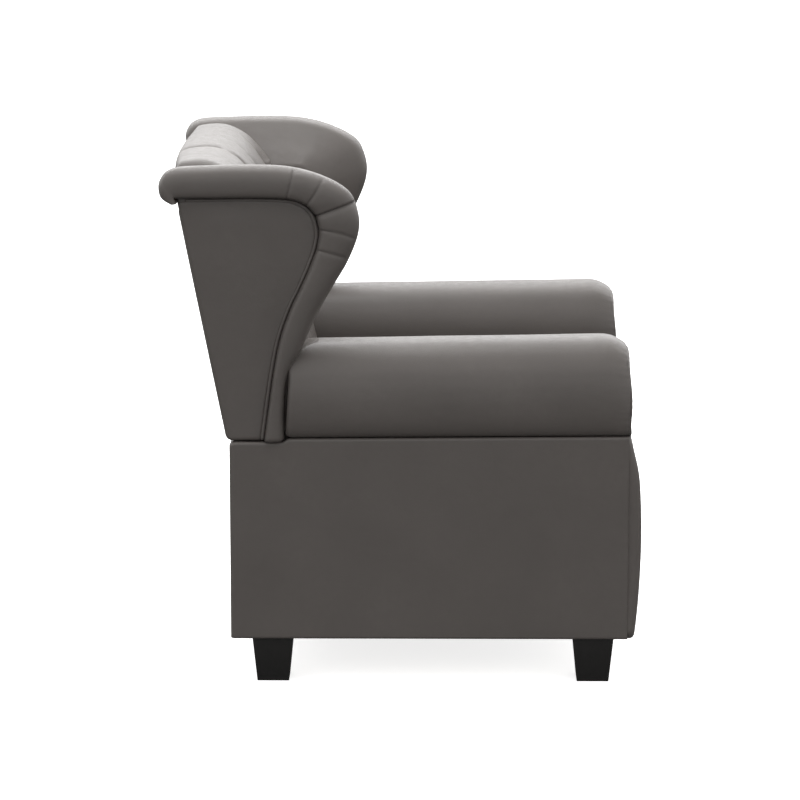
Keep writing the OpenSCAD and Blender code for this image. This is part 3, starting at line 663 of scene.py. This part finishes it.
# Arm rolls: front outline as [across, up], from the outer crease over the top to the inner one
ROLL_OUTLINE = [
    (383, 487.5), (393.5, 491), (401.5, 500), (407, 517), (409.6, 541), (409.3, 569), (405.5, 597),
    (397, 624), (379, 649.5), (351, 666.3), (318, 669), (286, 666), (260, 652), (245, 629),
    (236, 601), (234.5, 572), (241, 545), (257, 520), (275, 500), (291, 481.5)]
ARM_REAR = -221.5
ARM_CORNER = 56.0
ARM_FRONT = 439.7
ARM_TOP = 668.0


def roll_section():
    count = len(ROLL_OUTLINE) - 1
    over = through(ROLL_OUTLINE, np.linspace(0, count, 7 * count + 1))
    bottom = np.stack([np.linspace(298, 378, 8), np.linspace(480.9, 486.5, 8)], 1)
    return np.concatenate([over, bottom])


def arm_rise(u):
    """The arm rises a little towards the front."""
    return 1.0 + (u + 100) * 0.018


def arm_rear_u(z):
    """The rear end of an arm roll, which leans forward and turns over in a round corner."""
    lean = math.tan(math.radians(3.3)) * 0.9
    corner_z = ARM_TOP - ARM_CORNER
    corner_u = ARM_REAR + (corner_z - BASE_TOP) * lean + ARM_CORNER
    rise = np.clip(z, corner_z, ARM_TOP) - corner_z
    arc = corner_u - np.sqrt(np.maximum(0, ARM_CORNER ** 2 - np.square(rise)))
    return np.where(z > corner_z, arc, ARM_REAR + (z - BASE_TOP) * lean)


def nose_lean(z):
    """How far back the front of an arm leans towards its top."""
    return 5.0 * soft_step((z - 575) / 65)


def arm_ring(s):
    """Outline of an arm roll at a share of its length from the rear."""
    section = roll_section()
    x, z = section.T
    away = section - (ROLL_X + 6, 562.0)
    angle = np.arctan2(away[:, 1], away[:, 0])
    away /= np.linalg.norm(away, axis=1)[:, None]
    low_part = soft_step((z - 486) / 40)
    outside = soft_step((x - 330) / 30)
    high = np.clip((z - 488) / 180, 0, 1)
    rear = arm_rear_u(z) + round_edge(z - 486, 9) * outside
    front = ARM_FRONT - nose_lean(z)
    u = rear + (front - rear) * s
    ahead = np.clip((u - 384) / 56, 0, 1)
    inset = round_edge(u - rear, 9) * (1 - soft_step((z - 598) / 36))
    inset = inset + low_part * (3.5 + 20.5 * high ** 2.5) * ahead ** 2.2
    gather = 0.5 + 0.5 * np.cos(44 * angle + 3 * np.sin(3 * angle))
    inset = inset + low_part * 0.8 * gather * np.exp(-(front - u) / 11.0)
    slack = 0.35 * np.sin(u / 58 + 2 * angle) * np.sin(1.7 * angle + u / 133)
    p = section - away * (inset - slack * low_part)[:, None]
    lift = (crease_z(u) - 487.5) * outside * (1 - high) + arm_rise(u) * high
    return np.stack([p[:, 0], u, np.maximum(p[:, 1], 480.9) + lift], 1)


def arm_roll_cover(name, mirrored):
    rings = np.array([arm_ring(s) for s in spread(0, 1, 150, 0.93)])
    first = []
    for k in (0.12, 0.4, 0.7):
        ring = rings[0] * k + rings[0].mean(0) * (1 - k)
        ring[:, 1] = arm_rear_u(ring[:, 2]) - 1.5 * (1 - k)
        first.append(ring)
    return skin(name, np.concatenate([np.array(first), rings]), mirrored)


# Padded facings on the front of the arms
FACING_LOW = 89.0


def facing_sides(z):
    """Left and right edges of the padded facing at a height."""
    front = arm_ring(1.0)
    outer = front[:71]
    inner = front[70:134][::-1]
    right = np.interp(z, outer[:, 2], outer[:, 0]) - 0.6
    left = np.interp(z, inner[:, 2], inner[:, 0]) + 0.6
    corner = round_edge(z - FACING_LOW, 20.0)
    seam_z = 492.5
    draw = 7.0 * (1 - soft_step((seam_z - z) / 16))
    right = np.minimum(right, 388.0 + np.maximum(z - seam_z, 0) * 1.2)
    right = np.where(z < seam_z, PANEL_OUT - corner - draw, right)
    left = np.where(z < 482, ARM_IN - 1.6 + corner, left)
    return left, right


def facing_front(z):
    body = front_u(z) - 1.6 - 8.6 * soft_step((z - 380) / 108) ** 1.8
    above = 445.2 - 5.1 * soft_step((z - 560) / 75) - 1.8 * bell((z - 518) / 16)
    return np.where(z < 492, body, above) - 1.0 * bell((z - 491) / 6)


def facing_top():
    return float(arm_ring(1.0)[:, 2].max()) - 0.6


def arm_facing_cover(name, mirrored):
    top = facing_top()
    rise = ROLL_Z + (top - ROLL_Z) * np.sin(np.linspace(0, np.pi / 2, 40))
    z = np.concatenate([spread(FACING_LOW, 492, 84), np.linspace(492, ROLL_Z, 40)[1:-1], rise])
    z = np.clip(z, FACING_LOW + 0.02, top - 0.01)
    t = spread(-1, 1, 56)
    left, right = facing_sides(z)
    fall = np.clip((top - z) / 26, 0, 1)
    cap = np.sqrt(fall * (2 - fall))
    half_w = (right - left) / 2 * cap
    middle = (left + right) / 2 * cap + (ROLL_X - 3) * (1 - cap)
    X = middle[:, None] + half_w[:, None] * t[None]
    Z = np.repeat(z[:, None], len(t), 1)
    side = half_w[:, None] * (1 - np.abs(t))[None]
    edge = np.minimum(side, np.minimum(Z - FACING_LOW, top - Z))
    angle = np.arctan2(Z - ROLL_Z, X - ROLL_X)
    gather = 0.5 + 0.5 * np.cos(40 * angle + 2 * np.sin(3 * angle))
    pucker = 0.6 * gather * bell((edge - 7) / 7) * (Z > 505)
    round_by = np.where(Z > 492, 7.0 + 5.0 * soft_step((Z - 600) / 40), 12.0)
    front = facing_front(Z)
    back = FACING_BACK + 0.1 - nose_lean(Z)
    U = front - np.minimum(round_edge(edge, round_by) * 0.95, front - back - 0.2) - pucker
    U = U + 1.0 * soft_step(edge / 45) * (Z > 492)
    return pad(name, grid(X, U, Z), grid(X, back, Z), mirrored)


for side, mirrored in (("left", False), ("right", True)):
    cover(side_cover(side + "_side_cover", mirrored), "base", side + "_outside_panel")
    cover(arm_roll_cover(side + "_arm_cover", mirrored), "base", side + "_arm_roll")
    cover(arm_facing_cover(side + "_facing_cover", mirrored), "base", side + "_arm_facing", fill=0.8)
    cover(base_top_cover(side + "_base_top_cover", mirrored), "base", fill=None)
    inside = side + "_inner_arm_cover"
    cover(inner_arm_cover(inside, mirrored, 112, 440.4, BASE_LOW - 1.2, BASE_TOP + 6), "base")
    inside = side + "_upper_inner_arm_cover"
    cover(inner_arm_cover(inside, mirrored, -262, 111.8, 430, BASE_TOP + 1.6), "base")
cover(front_rail_cover(), "base")
cover(rear_base_cover(), "base", "rear_base_panel")

# Wings: where each roll meets its panel, and the roll's outer edge, as [forward, up from the base]
CREASE = [
    (-424.5, 465.5), (-424.5, 466), (-424.5, 468), (-424, 473.5), (-360, 474), (-290, 475),
    (-226, 473.5), (-192, 467), (-167.5, 447.5), (-156, 417), (-158, 387), (-172, 345),
    (-190.5, 303), (-211, 259), (-231, 200), (-245, 125), (-262, 3.5)]
EDGE = [
    (-438, 463.5), (-457, 478), (-457.5, 508), (-432, 530), (-360, 534.5), (-290, 536),
    (-215, 533), (-150, 516), (-100, 487), (-82, 447), (-82, 405), (-102, 353),
    (-130, 305), (-160, 252), (-192, 180), (-219.5, 122), (-225, 3.5)]
FOOT = len(CREASE) - 1
WING_MID = 355.0
LINING = 300.0
# Section of a wing's roll as [across, share of the way from seam to edge], from its outer seam over the edge
ROLL_SHAPE = [
    (393, 0), (403.5, 0.035), (409.5, 0.13), (411, 0.38), (409, 0.66), (402.5, 0.87), (391, 0.985),
    (377, 1.0), (362, 0.955), (351, 0.86), (343, 0.70), (334, 0.47), (324, 0.20), (312, -0.12),
    (LINING, -0.5)]
# Each pleat: its place along the roll at the seam and at the outer edge, its depth and width,
# how far it draws the leather round it, and how far it runs round the roll
PLEATS = [
    (6.19, 6.19, 2.6, 0.045, 0.35, 92), (7.39, 7.05, 2.2, 0.06, 0.7, 92), (8.25, 8.50, 5.0, 0.075, 1.8, 96),
    (9.04, 10.18, 2.0, 0.055, 0.5, 88), (10.25, 10.87, 1.8, 0.055, 0.35, 80)]


def wing_lines(t):
    """Seam and outer edge of the roll, how far apart they are and which way the edge lies."""
    crease = through(CREASE, t) + (0, BASE_TOP)
    edge = through(EDGE, t) + (0, BASE_TOP)
    reach = np.linalg.norm(edge - crease, axis=1)
    return crease, reach, (edge - crease) / reach[:, None]


def spread_down(t, w, first, lean=0.0):
    """Places down the line w in front of the back's rear face, spaced as the crease is."""
    fine = np.linspace(first, FOOT, 800)
    line = through(CREASE, fine)
    run = np.concatenate([[0], np.cumsum(np.linalg.norm(np.diff(line, axis=0), axis=1))])
    share = np.interp(t, fine, run / run[-1])
    z = WING_TOP - share * (WING_TOP - WING_FOOT)
    return np.stack([back_u(w + lean * (z - WING_FOOT) / (WING_TOP - WING_FOOT), z), z], 1)


def pleat_draw(t, a, share):
    """How far the pleats draw the roll in, at places t along it and angles a round it."""
    drawn = np.zeros((len(t), len(a)))
    for seam_end, edge_end, depth, width, pull, reach_to in PLEATS:
        fade = soft_step((math.radians(reach_to) - a) / math.radians(38))
        at = seam_end + (edge_end - seam_end) * np.clip(share, 0, 1)[None]
        along = t[:, None] - at
        # The fold leans over on the side nearer the top
        lean = np.where(along < 0, width * 0.6, width * 1.6)
        drawn += (depth * np.exp(-np.abs(along / lean) ** 1.3) + pull * bell(along / 0.4)) * fade[None]
    near_seam = bell((a + 0.75) / 0.5) * 0.7
    ripple = (0.5 + 0.5 * np.cos(t * 17)) * bell((t - 7.7) / 1.0)
    return drawn + ripple[:, None] * near_seam[None]


def wing_cover(name, mirrored):
    """The roll and the smooth inner face of a wing, as one cover."""
    t = np.linspace(0, FOOT, 461)
    crease, reach, out_way = wing_lines(t)
    first = 3.87
    rear = spread_down(np.maximum(t, first), CUSHION_REAR + 0.2, first)
    rear[t < first] = crease[t < first]
    place_in = np.linspace(0, 14, 57)
    shape = through(ROLL_SHAPE, place_in)
    a = np.interp(place_in, (0, 2, 7, 14), (-0.8, 0, math.pi / 2, math.pi))
    over = np.clip(shape[:, 1], 0, 1) ** 3
    drawn = pleat_draw(t, a, shape[:, 1])
    rings = []
    for i in range(len(t)):
        q = crease[i]
        x = shape[:, 0].copy()
        # The inner side slants, less so towards the foot
        slant = 0.2 + 0.8 * soft_step((q[1] - 540) / 150)
        out = reach[i] * np.where(shape[:, 1] < 0, shape[:, 1] * slant, shape[:, 1])
        out = out + 1.2 * over * soft_step((t[i] - 2) / 2)
        heart = np.array([WING_MID, reach[i] * 0.45])
        to_heart = np.stack([heart[0] - x, heart[1] - out], 1)
        to_heart /= np.maximum(np.linalg.norm(to_heart, axis=1), 1e-6)[:, None]
        pull = drawn[i] * min(1.0, reach[i] / 60)
        pull = pull + round_edge(q[1] - WING_FOOT + 0.5, 9) * soft_step((a + 0.8) / 0.5)
        x = x + to_heart[:, 0] * pull
        out = out + to_heart[:, 1] * pull
        roll = np.stack([x, q[0] + out_way[i][0] * out, q[1] + out_way[i][1] * out], 1)
        s = np.linspace(0, 1, 19)[1:]
        inner = roll[-1] + ((LINING, *rear[i]) - roll[-1]) * s[:, None]
        near, nearer = q - 0.4 * out_way[i], q - 0.2 * out_way[i]
        hidden = [(332, *rear[i]), (364.3, *rear[i]), (364.3, *near), (384.0, *nearer)]
        rings.append(np.concatenate([roll, inner, hidden]))
    return skin(name, rings, mirrored)


def wing_panel_cover(name, mirrored):
    t = np.linspace(3.02, FOOT, 200)
    crease, _, out_way = wing_lines(t)
    start = crease - 0.4 * out_way
    rear = spread_down(t, 1.2, 3.02, 4.0)
    s = spread(0, 1, 60, 0.85)[None, :, None]
    p = start[:, None] * (1 - s) + rear[:, None] * s
    run = np.linalg.norm(rear - start, axis=1)[:, None]
    from_crease = run * s[..., 0]
    from_rear = run * (1 - s[..., 0])
    from_foot = p[..., 1] - WING_FOOT - 0.2
    raised = 2.4 - round_edge(np.maximum(from_crease - 8.0, 0) * 0.5, 2.4)
    raised = np.where(from_crease < 8.0, 0, raised)
    crown = 1.5 * soft_step(from_crease / 90) * soft_step(from_rear / 90) * soft_step(from_foot / 90)
    fall = round_edge(from_rear, 8) + round_edge(from_foot, 5)
    X = np.maximum(388.8 + raised + crown - np.minimum(fall, 6.5), WING_SIDE + 0.2)
    u = p[..., 0] + round_edge(from_foot, 8) * bell(from_rear / 30)
    return pad(name, grid(X, u, p[..., 1]), grid(WING_SIDE, u, p[..., 1]), mirrored)


def wing_piping(name, mirrored):
    crease, _, out_way = wing_lines(np.linspace(3.3, FOOT - 0.03, 220))
    path = np.insert(crease - 4.6 * out_way, 0, 387.6, 1)
    return tube(name, path, 4.0, mirrored, sides=16)


def rear_back_cover():
    half = WING_SIDE - 0.2
    x = spread(-half, half, 140)
    v = spread((WING_LOW - BACK_FOOT[1]) / math.cos(RAKE) + 0.3, BACK_LENGTH - 0.2, 100)
    X, V = np.meshgrid(x, v, indexing="ij")
    fall = round_edge(half - np.abs(X), 5) + round_edge(V - v[0], 8) + round_edge(v[-1] - V, 5)
    crown = 3.0 * arch((X + half) / (2 * half), 0.6) * arch((V - v[0]) / (v[-1] - v[0]), 0.7)
    slack = 0.5 * np.sin(X / 83 + V / 70) * np.sin(V / 57)
    W = 3.0 * V / BACK_LENGTH + np.minimum(fall, 6) - crown + slack * np.minimum(1, (half - np.abs(X)) / 60)
    u, z = on_back(W, V)
    return pad("rear_back_cover", grid(X, u, z), grid(X, *on_back(9.7, V)))


for side, mirrored in (("left", False), ("right", True)):
    wing = wing_cover(side + "_wing_cover", mirrored)
    cover(wing, "back", side + "_wing_roll", side + "_wing_lining", fill=0.8)
    cover(wing_panel_cover(side + "_wing_panel_cover", mirrored), "back", side + "_wing_panel")
    cover(wing_piping(side + "_wing_piping", mirrored), "back", fill=None)
cover(rear_back_cover(), "back", "rear_back_panel")

# Back cushion
TUFT_ROWS = (435.0, 310.0, 185.0)
TUFT_PITCH = 140.0
TUFT_DEPTH = 24.0
FRONT_CURVE = [(148.3, -94), (165.3, -30), (173.3, 60), (161.3, 250), (147.3, 435)]
TOP_CURVE = [
    (147.3, 435), (129, 471), (108, 500), (72, 525.5), (26, 533.5), (-2, 526), (-12, 500), (-6, 466)]


def odd_gap(p):
    """Distance to the nearest odd number."""
    return np.abs(p / 2 - 0.5 - np.round(p / 2 - 0.5)) * 2


def fold(gap):
    """Depth of a fold at a distance from its line."""
    return 5.0 * bell(gap / 0.22) + 3.0 * bell(gap / 0.07)


def crown_pleat(x, w):
    """The pleats run on over the crown of the cushion unevenly."""
    on_top = soft_step((118 - w) / 18)
    kept = 0.14 + 1.3 * bell((x + 70) / 30) * (1 - 0.85 * bell((w - 90) / 13)) + 0.22 * bell((x - 140) / 20)
    return (1 - on_top * (1 - kept)) * (0.62 + 0.55 * bell((x + 70) / 40))


def tuft(x, v, w):
    """How far the face is drawn in at a place across x, up v and forward w."""
    p = 2 * x / TUFT_PITCH
    q = (v - TUFT_ROWS[0]) / (TUFT_ROWS[0] - TUFT_ROWS[1])
    a, b = odd_gap(p + q), odd_gap(p - q)
    high, low = TUFT_ROWS[0], TUFT_ROWS[2]
    deep = TUFT_DEPTH - 8
    straight = odd_gap(p)
    button = deep * bell(straight / 0.4)
    rise = v - high
    above = fold(straight) * (0.75 + 0.25 * bell(rise / 40)) + button * bell(rise / 24)
    above += 0.9 * bell(odd_gap(p + 1) / 0.09) * soft_step((rise - 15) / 40)
    above += 0.45 * bell(odd_gap(2 * p) / 0.12) * soft_step((rise - 30) / 40)
    above *= crown_pleat(x, w)
    # Two deeper folds towards the sitter's right
    above += 4.0 * bell((x + 70) / 4.5) * bell((w - 24) / 42) * soft_step((rise - 30) / 30)
    slanted = bell((x + 64 + 0.2 * (w - 122)) / 5.0)
    above += 6.0 * slanted * bell((w - 122) / 15) * soft_step((rise - 8) / 20)
    middle = np.maximum(fold(a), fold(b)) + deep * bell(np.sqrt(a * a + b * b) / 0.42)
    below = fold(straight) * soft_step((v + 60) / 200) + button * bell((v - low) / 24)
    return np.where(v > high, above, np.where(v > low, middle, below))


def cushion_outline():
    """Side outline of the back cushion as [w, v], with a mark where the hidden rear side is."""
    front = through(FRONT_CURVE, np.linspace(0, 4, 120))
    top = through(TOP_CURVE, np.linspace(0, 7, 78)[1:])
    rear = [(CUSHION_REAR, v) for v in (455.3, 400, 200, 0, -104)] + [(74.3, -112)]
    low = bend((74.3, -112), (60, 0), (148.3, -94), (14, 50), 12)[1:-1]
    outline = np.concatenate([rear, low, front, top, [(0, 455.3)]])
    hidden = np.zeros(len(outline), bool)
    hidden[:6] = True
    hidden[-1] = True
    return outline, hidden


def back_cushion_cover():
    outline, hidden = cushion_outline()
    w, v = outline.T
    # It narrows between the arms, and its face stays behind their rear ends
    wide = CUSHION_HALF - 21 * (1 - soft_step((v + 22) / 28))
    over = soft_step((v - 488) / 30)
    limit = np.maximum(100.3, 106 + 0.26 * v + 1.3 * np.maximum(0, v - 150))
    rings = []
    for k in spread(-1, 1, 190, 0.35):
        x = k * wide
        draw = tuft(x, v, w) + round_edge((1 - abs(k)) * CUSHION_HALF, 26) * 0.8
        behind_arm = np.maximum(0, w - limit) * soft_step((np.abs(x) - 204) / 24)
        draw = np.where(hidden, 0, draw + behind_arm)
        draw = draw * np.where(v > 450, 0.25 + 0.75 * soft_step((w + 8) / 24), 1)
        draw = np.minimum(draw, np.maximum(w - 62, 0) * (v < 450) + 60 * (v >= 450))
        behind = 15.0 * (x / CUSHION_HALF) ** 2 * soft_step((22 - w) / 30) * (v > 456)
        q = on_back(w + behind - draw * (1 - over), v - draw * over)
        rings.append(np.stack([x, q[0], q[1]], 1))
    return skin("back_cushion_cover", rings)


def face_w(v):
    front = through(FRONT_CURVE, np.linspace(0, 4, 400))
    return float(np.interp(v, front[:, 1], front[:, 0]))


def covered_buttons():
    """One domed button, modelled once and copied into every tuft."""
    deselect()
    bpy.ops.mesh.primitive_uv_sphere_add(segments=28, ring_count=14, radius=0.0125, location=(0, 0, 0))
    button = bpy.context.object
    bpy.ops.object.mode_set(mode="EDIT")
    bpy.ops.mesh.select_all(action="SELECT")
    bpy.ops.transform.resize(value=(1, 1, 0.5), center_override=(0, 0, 0))
    bpy.ops.mesh.bisect(plane_co=(0, 0, -0.0025), plane_no=(0, 0, 1), use_fill=True, clear_inner=True)
    bpy.ops.mesh.select_mode(type="FACE")
    pick(button, lambda face: face.normal.z < -0.9)
    bpy.ops.mesh.inset(thickness=0.002, depth=0)
    bpy.ops.mesh.extrude_region_move(TRANSFORM_OT_translate={"value": (0, 0, -0.004)})
    bpy.ops.object.mode_set(mode="OBJECT")
    copies = []
    facing = Vector((0, -math.cos(RAKE), math.sin(RAKE))).to_track_quat("Z", "Y").to_matrix().to_4x4()
    for row, v in enumerate(TUFT_ROWS):
        for k in ((-1, 0, 1) if row == 1 else (-1.5, -0.5, 0.5, 1.5)):
            u, z = on_back(face_w(v) - TUFT_DEPTH + 4.0, v)
            copy = button.copy()
            copy.data = button.data.copy()
            copy.data.transform(Matrix.Translation(place((k * TUFT_PITCH, u, z))[0]) @ facing)
            scene.collection.objects.link(copy)
            copies.append(copy)
    bpy.data.objects.remove(button)
    deselect()
    for copy in copies:
        copy.select_set(True)
    bpy.context.view_layer.objects.active = copies[0]
    bpy.ops.object.join()
    buttons = bpy.context.object
    buttons.name = buttons.data.name = "covered_buttons"
    bpy.ops.object.shade_smooth_by_angle(angle=math.radians(50))
    return buttons


cover(back_cushion_cover(), "back", "back_cushion", fill=0.7)
cover(covered_buttons(), "back", "back_buttons", fill=None)


# Seat and footrest pads
def rows_of_rings(rows, sides, squareness, plan_power):
    """Rows from -1 to 1, how full the plan is at each, and a squared ring as [across, along]."""
    t = np.sin(np.linspace(-np.pi / 2, np.pi / 2, rows)) * 0.9995
    a = np.linspace(0, 2 * np.pi, sides, endpoint=False)
    full = (1 - np.abs(t) ** plan_power) ** (1 / plan_power)
    return t, full, bulge(np.cos(a), 2 / squareness), bulge(np.sin(a), 2 / squareness)


def seat_block(half, u0, u1, z0, z1, crown):
    """A soft block with squared sections, flat below and crowned above."""
    t, fullness, x, z = rows_of_rings(80, 120, 3.4, 9)
    rings = []
    for k, full in zip(t, fullness):
        up = z * (z1 - z0) / 2 * np.where(z > 0, full, full ** 0.3)
        up = up - np.where(z > 0, crown * (1 - (1 - x * x) * (1 - k * k)) * z, 0)
        u = (u0 + u1) / 2 + (u1 - u0) / 2 * k
        rings.append(grid(half * (0.93 + 0.07 * full) * x, u, (z0 + z1) / 2 + up))
    return skin("seat_cushion_cover", rings)


def swell(piece, voxel, cap, pinned, keep_in):
    """Swells a pad as a cloth filled with air, then keeps it inside the room that it has."""
    deselect()
    bpy.context.view_layer.objects.active = piece
    piece.select_set(True)
    remesh = piece.modifiers.new("even", "REMESH")
    remesh.mode = "VOXEL"
    remesh.voxel_size = voxel
    bpy.ops.object.modifier_apply(modifier=remesh.name)
    mesh = piece.data
    start = read(mesh.vertices, "co")
    group = piece.vertex_groups.new(name="held")
    held = np.nonzero(pinned(start))[0].tolist()
    group.add(held, 1.0, "REPLACE")
    cloth = piece.modifiers.new("filling", "CLOTH")
    cloth.settings.use_pressure = True
    cloth.settings.uniform_pressure_force = 4.0
    cloth.settings.effector_weights.gravity = 0
    cloth.settings.vertex_group_mass = "held"
    cloth.settings.quality = 6
    cloth.settings.tension_stiffness = 25
    cloth.settings.compression_stiffness = 25
    cloth.settings.bending_stiffness = 2.5
    cloth.point_cache.frame_start = 1
    cloth.point_cache.frame_end = 22
    for number in range(1, 21):
        scene.frame_set(number)
    shaped = piece.evaluated_get(bpy.context.evaluated_depsgraph_get())
    end = read(shaped.data.vertices, "co")
    piece.modifiers.remove(cloth)
    piece.vertex_groups.clear()
    scene.frame_set(1)
    move = end - start
    length = np.linalg.norm(move, axis=1)[:, None]
    move *= np.minimum(1, cap / np.maximum(length, 1e-9))
    net = net_of(mesh)
    move = evened(move, net, 40)
    move = evened(keep_in(start + move) - start, net, 20)
    mesh.vertices.foreach_set("co", (start + move).ravel())
    mesh.update()
    smooth = piece.modifiers.new("even_out", "SMOOTH")
    smooth.factor = 0.5
    smooth.iterations = 4
    bpy.ops.object.modifier_apply(modifier=smooth.name)
    finer = piece.modifiers.new("finer", "SUBSURF")
    finer.levels = finer.render_levels = 1
    bpy.ops.object.modifier_apply(modifier=finer.name)
    mesh.polygons.foreach_set("use_smooth", [True] * len(mesh.polygons))


def press_seam(piece, path, depth, width):
    """Draws the cover in along a seam and returns the seam's path on the surface."""
    mesh = piece.data
    tree = BVHTree.FromObject(piece, bpy.context.evaluated_depsgraph_get())
    line = np.array([tuple(tree.find_nearest(Vector(p))[0]) for p in place(path)])
    for _ in range(6):
        line[1:-1] = 0.5 * line[1:-1] + 0.25 * (line[:-2] + line[2:])
    co = read(mesh.vertices, "co")
    near = np.full(len(co), 1.0)
    for p in line:
        near = np.minimum(near, np.linalg.norm(co - p, axis=1))
    co -= read(mesh.vertices, "normal") * (depth * 0.001 * bell(near / (width * 0.001)))[:, None]
    mesh.vertices.foreach_set("co", co.ravel())
    mesh.update()
    return np.stack([line[:, 0], -line[:, 1], line[:, 2]], 1) * 1000


def seat_room(p):
    """Keeps the seat cushion clear of the arm rolls and down on its frame."""
    z = p[:, 2] * 1000
    limit = np.interp(z, (400, 466, 480, 490, 500, 512), (270, 270, 261, 252, 244, 236)) * 0.001
    p[:, 0] = np.clip(p[:, 0], -limit, limit)
    p[:, 1] = np.clip(p[:, 1], -0.4475, 0.1505)
    p[:, 2] = np.clip(p[:, 2], 0.4080, 0.5075)
    return p


def seat_cushion_cover():
    piece = seat_block(266, -147, 443, 408.2, 501, 3.0)
    swell(piece, 0.006, 0.022, lambda p: p[:, 2] < 0.4115, seat_room)
    x = np.linspace(-236, 236, 90)
    return piece, press_seam(piece, grid(x, 443 - 9 * np.abs(x / 236) ** 10, 486), 2.2, 6.0)


def footrest_room(p):
    """Keeps the footrest's pad between the arms and behind the bowed front."""
    z = p[:, 2] * 1000
    limit = (front_u(z) + 3.0) * 0.001
    p[:, 0] = np.clip(p[:, 0], -0.2825, 0.2825)
    p[:, 1] = np.clip(p[:, 1], -limit, -0.4124)
    p[:, 2] = np.clip(p[:, 2], 0.0995, 0.4025)
    return p


def footrest_cover():
    t, fullness, x, y = rows_of_rings(90, 110, 9, 14)
    rings = []
    for k, full in zip(t, fullness):
        z = 251.0 + 149.5 * k
        deep = (front_u(z) - 2 - FOOT_PAD_REAR) * (0.8 + 0.2 * full)
        rings.append(grid(280 * (0.975 + 0.025 * full) * x, FOOT_PAD_REAR + deep / 2 + deep / 2 * y, z))
    piece = skin("footrest_cover", rings)
    swell(piece, 0.005, 0.016, lambda p: p[:, 1] > -0.416, footrest_room)
    return piece


def seat_frame_cover():
    """Leather round the front of the seat frame, under the cushion."""
    side = [(278.6, 370), (278.7, 377), (278, 384.5), (275.5, 387), (268, 387.3)]
    plan = [(-x, u) for x, u in side] + [(0, 387.5)] + side[::-1]
    X, U = through(plan, np.linspace(0, 10, 121)).T
    face, back = [], []
    over = [(0.4, 408.3), (1.5, 409.0), (4, 409.2), (18, 409.2)]
    for inward, up in [(0, z) for z in spread(345, 407, 16)] + over:
        half, front = 278.7 - inward, 387.5 - inward
        x, u = np.clip(X, -half, half), np.minimum(U, front)
        face.append(grid(x, u, up))
        back.append(grid(np.clip(x, -276.8, 276.8), np.minimum(u, 384.8), min(up, 407.5)))
    return pad("seat_frame_cover", face, back)


def footrest_edge_cover():
    """Leather wrapped over the edges of the footrest board."""
    half, low, high, corner = 273.0, 102.0, 401.0, 2.0
    arc = np.linspace(0, np.pi / 2, 8)
    path = []
    for turn, (sx, sz) in enumerate(((1, 1), (-1, 1), (-1, -1), (1, -1))):
        middle = np.array([sx * (half - corner), (high if sz > 0 else low) - sz * corner])
        for a in arc + turn * np.pi / 2:
            path.append((middle, np.array([math.cos(a), math.sin(a)])))
    around = np.linspace(0, 2 * np.pi, 16, endpoint=False)
    off = corner + 1.2 * bulge(np.cos(around), 0.4)
    u = 405.0 + 8.9 * bulge(np.sin(around), 0.25)
    rings = [grid(middle[0] + off * out[0], u, middle[1] + off * out[1]) for middle, out in path]
    return closed_skin("footrest_edge_cover", np.array(rings))


def footrest_board_cover():
    """Leather over the front of the footrest board, behind the pad."""
    X, Z = np.meshgrid(spread(-272.5, 272.5, 8), spread(102, 401.5, 8), indexing="ij")
    return pad("footrest_board_cover", grid(X, 413.4, Z), grid(X, 411.8, Z))


seat_piece, seat_seam = seat_cushion_cover()
cover(seat_piece, "seat", "seat_cushion", fill=0.8)
cover(tube("seat_piping", seat_seam, 2.4), "seat", fill=None)
cover(seat_frame_cover(), "seat")
cover(footrest_cover(), "footrest", "footrest_pad", fill=0.8)
cover(footrest_edge_cover(), "footrest")
cover(footrest_board_cover(), "footrest")


# Frame, steel and fastenings that keep their shape
def finish_nodes():
    slots = {
        "frame_wood": TIMBER, "steel": LINK_STEEL, "spring_steel": SPRING_STEEL, "fastener": BOLT_STEEL,
        "webbing": WEBBING, "upholstery": LEATHER, "dark_wood": LEG_WOOD}
    for row in frame["record"]["subparts"]:
        node = frame["nodes"].get(row["node"])
        if node is None:
            continue
        finish = slots[row["material_slot"]]
        if not node.material_slots:
            node.data.materials.append(finish)
        for slot in node.material_slots:
            slot.material = finish


finish_nodes()
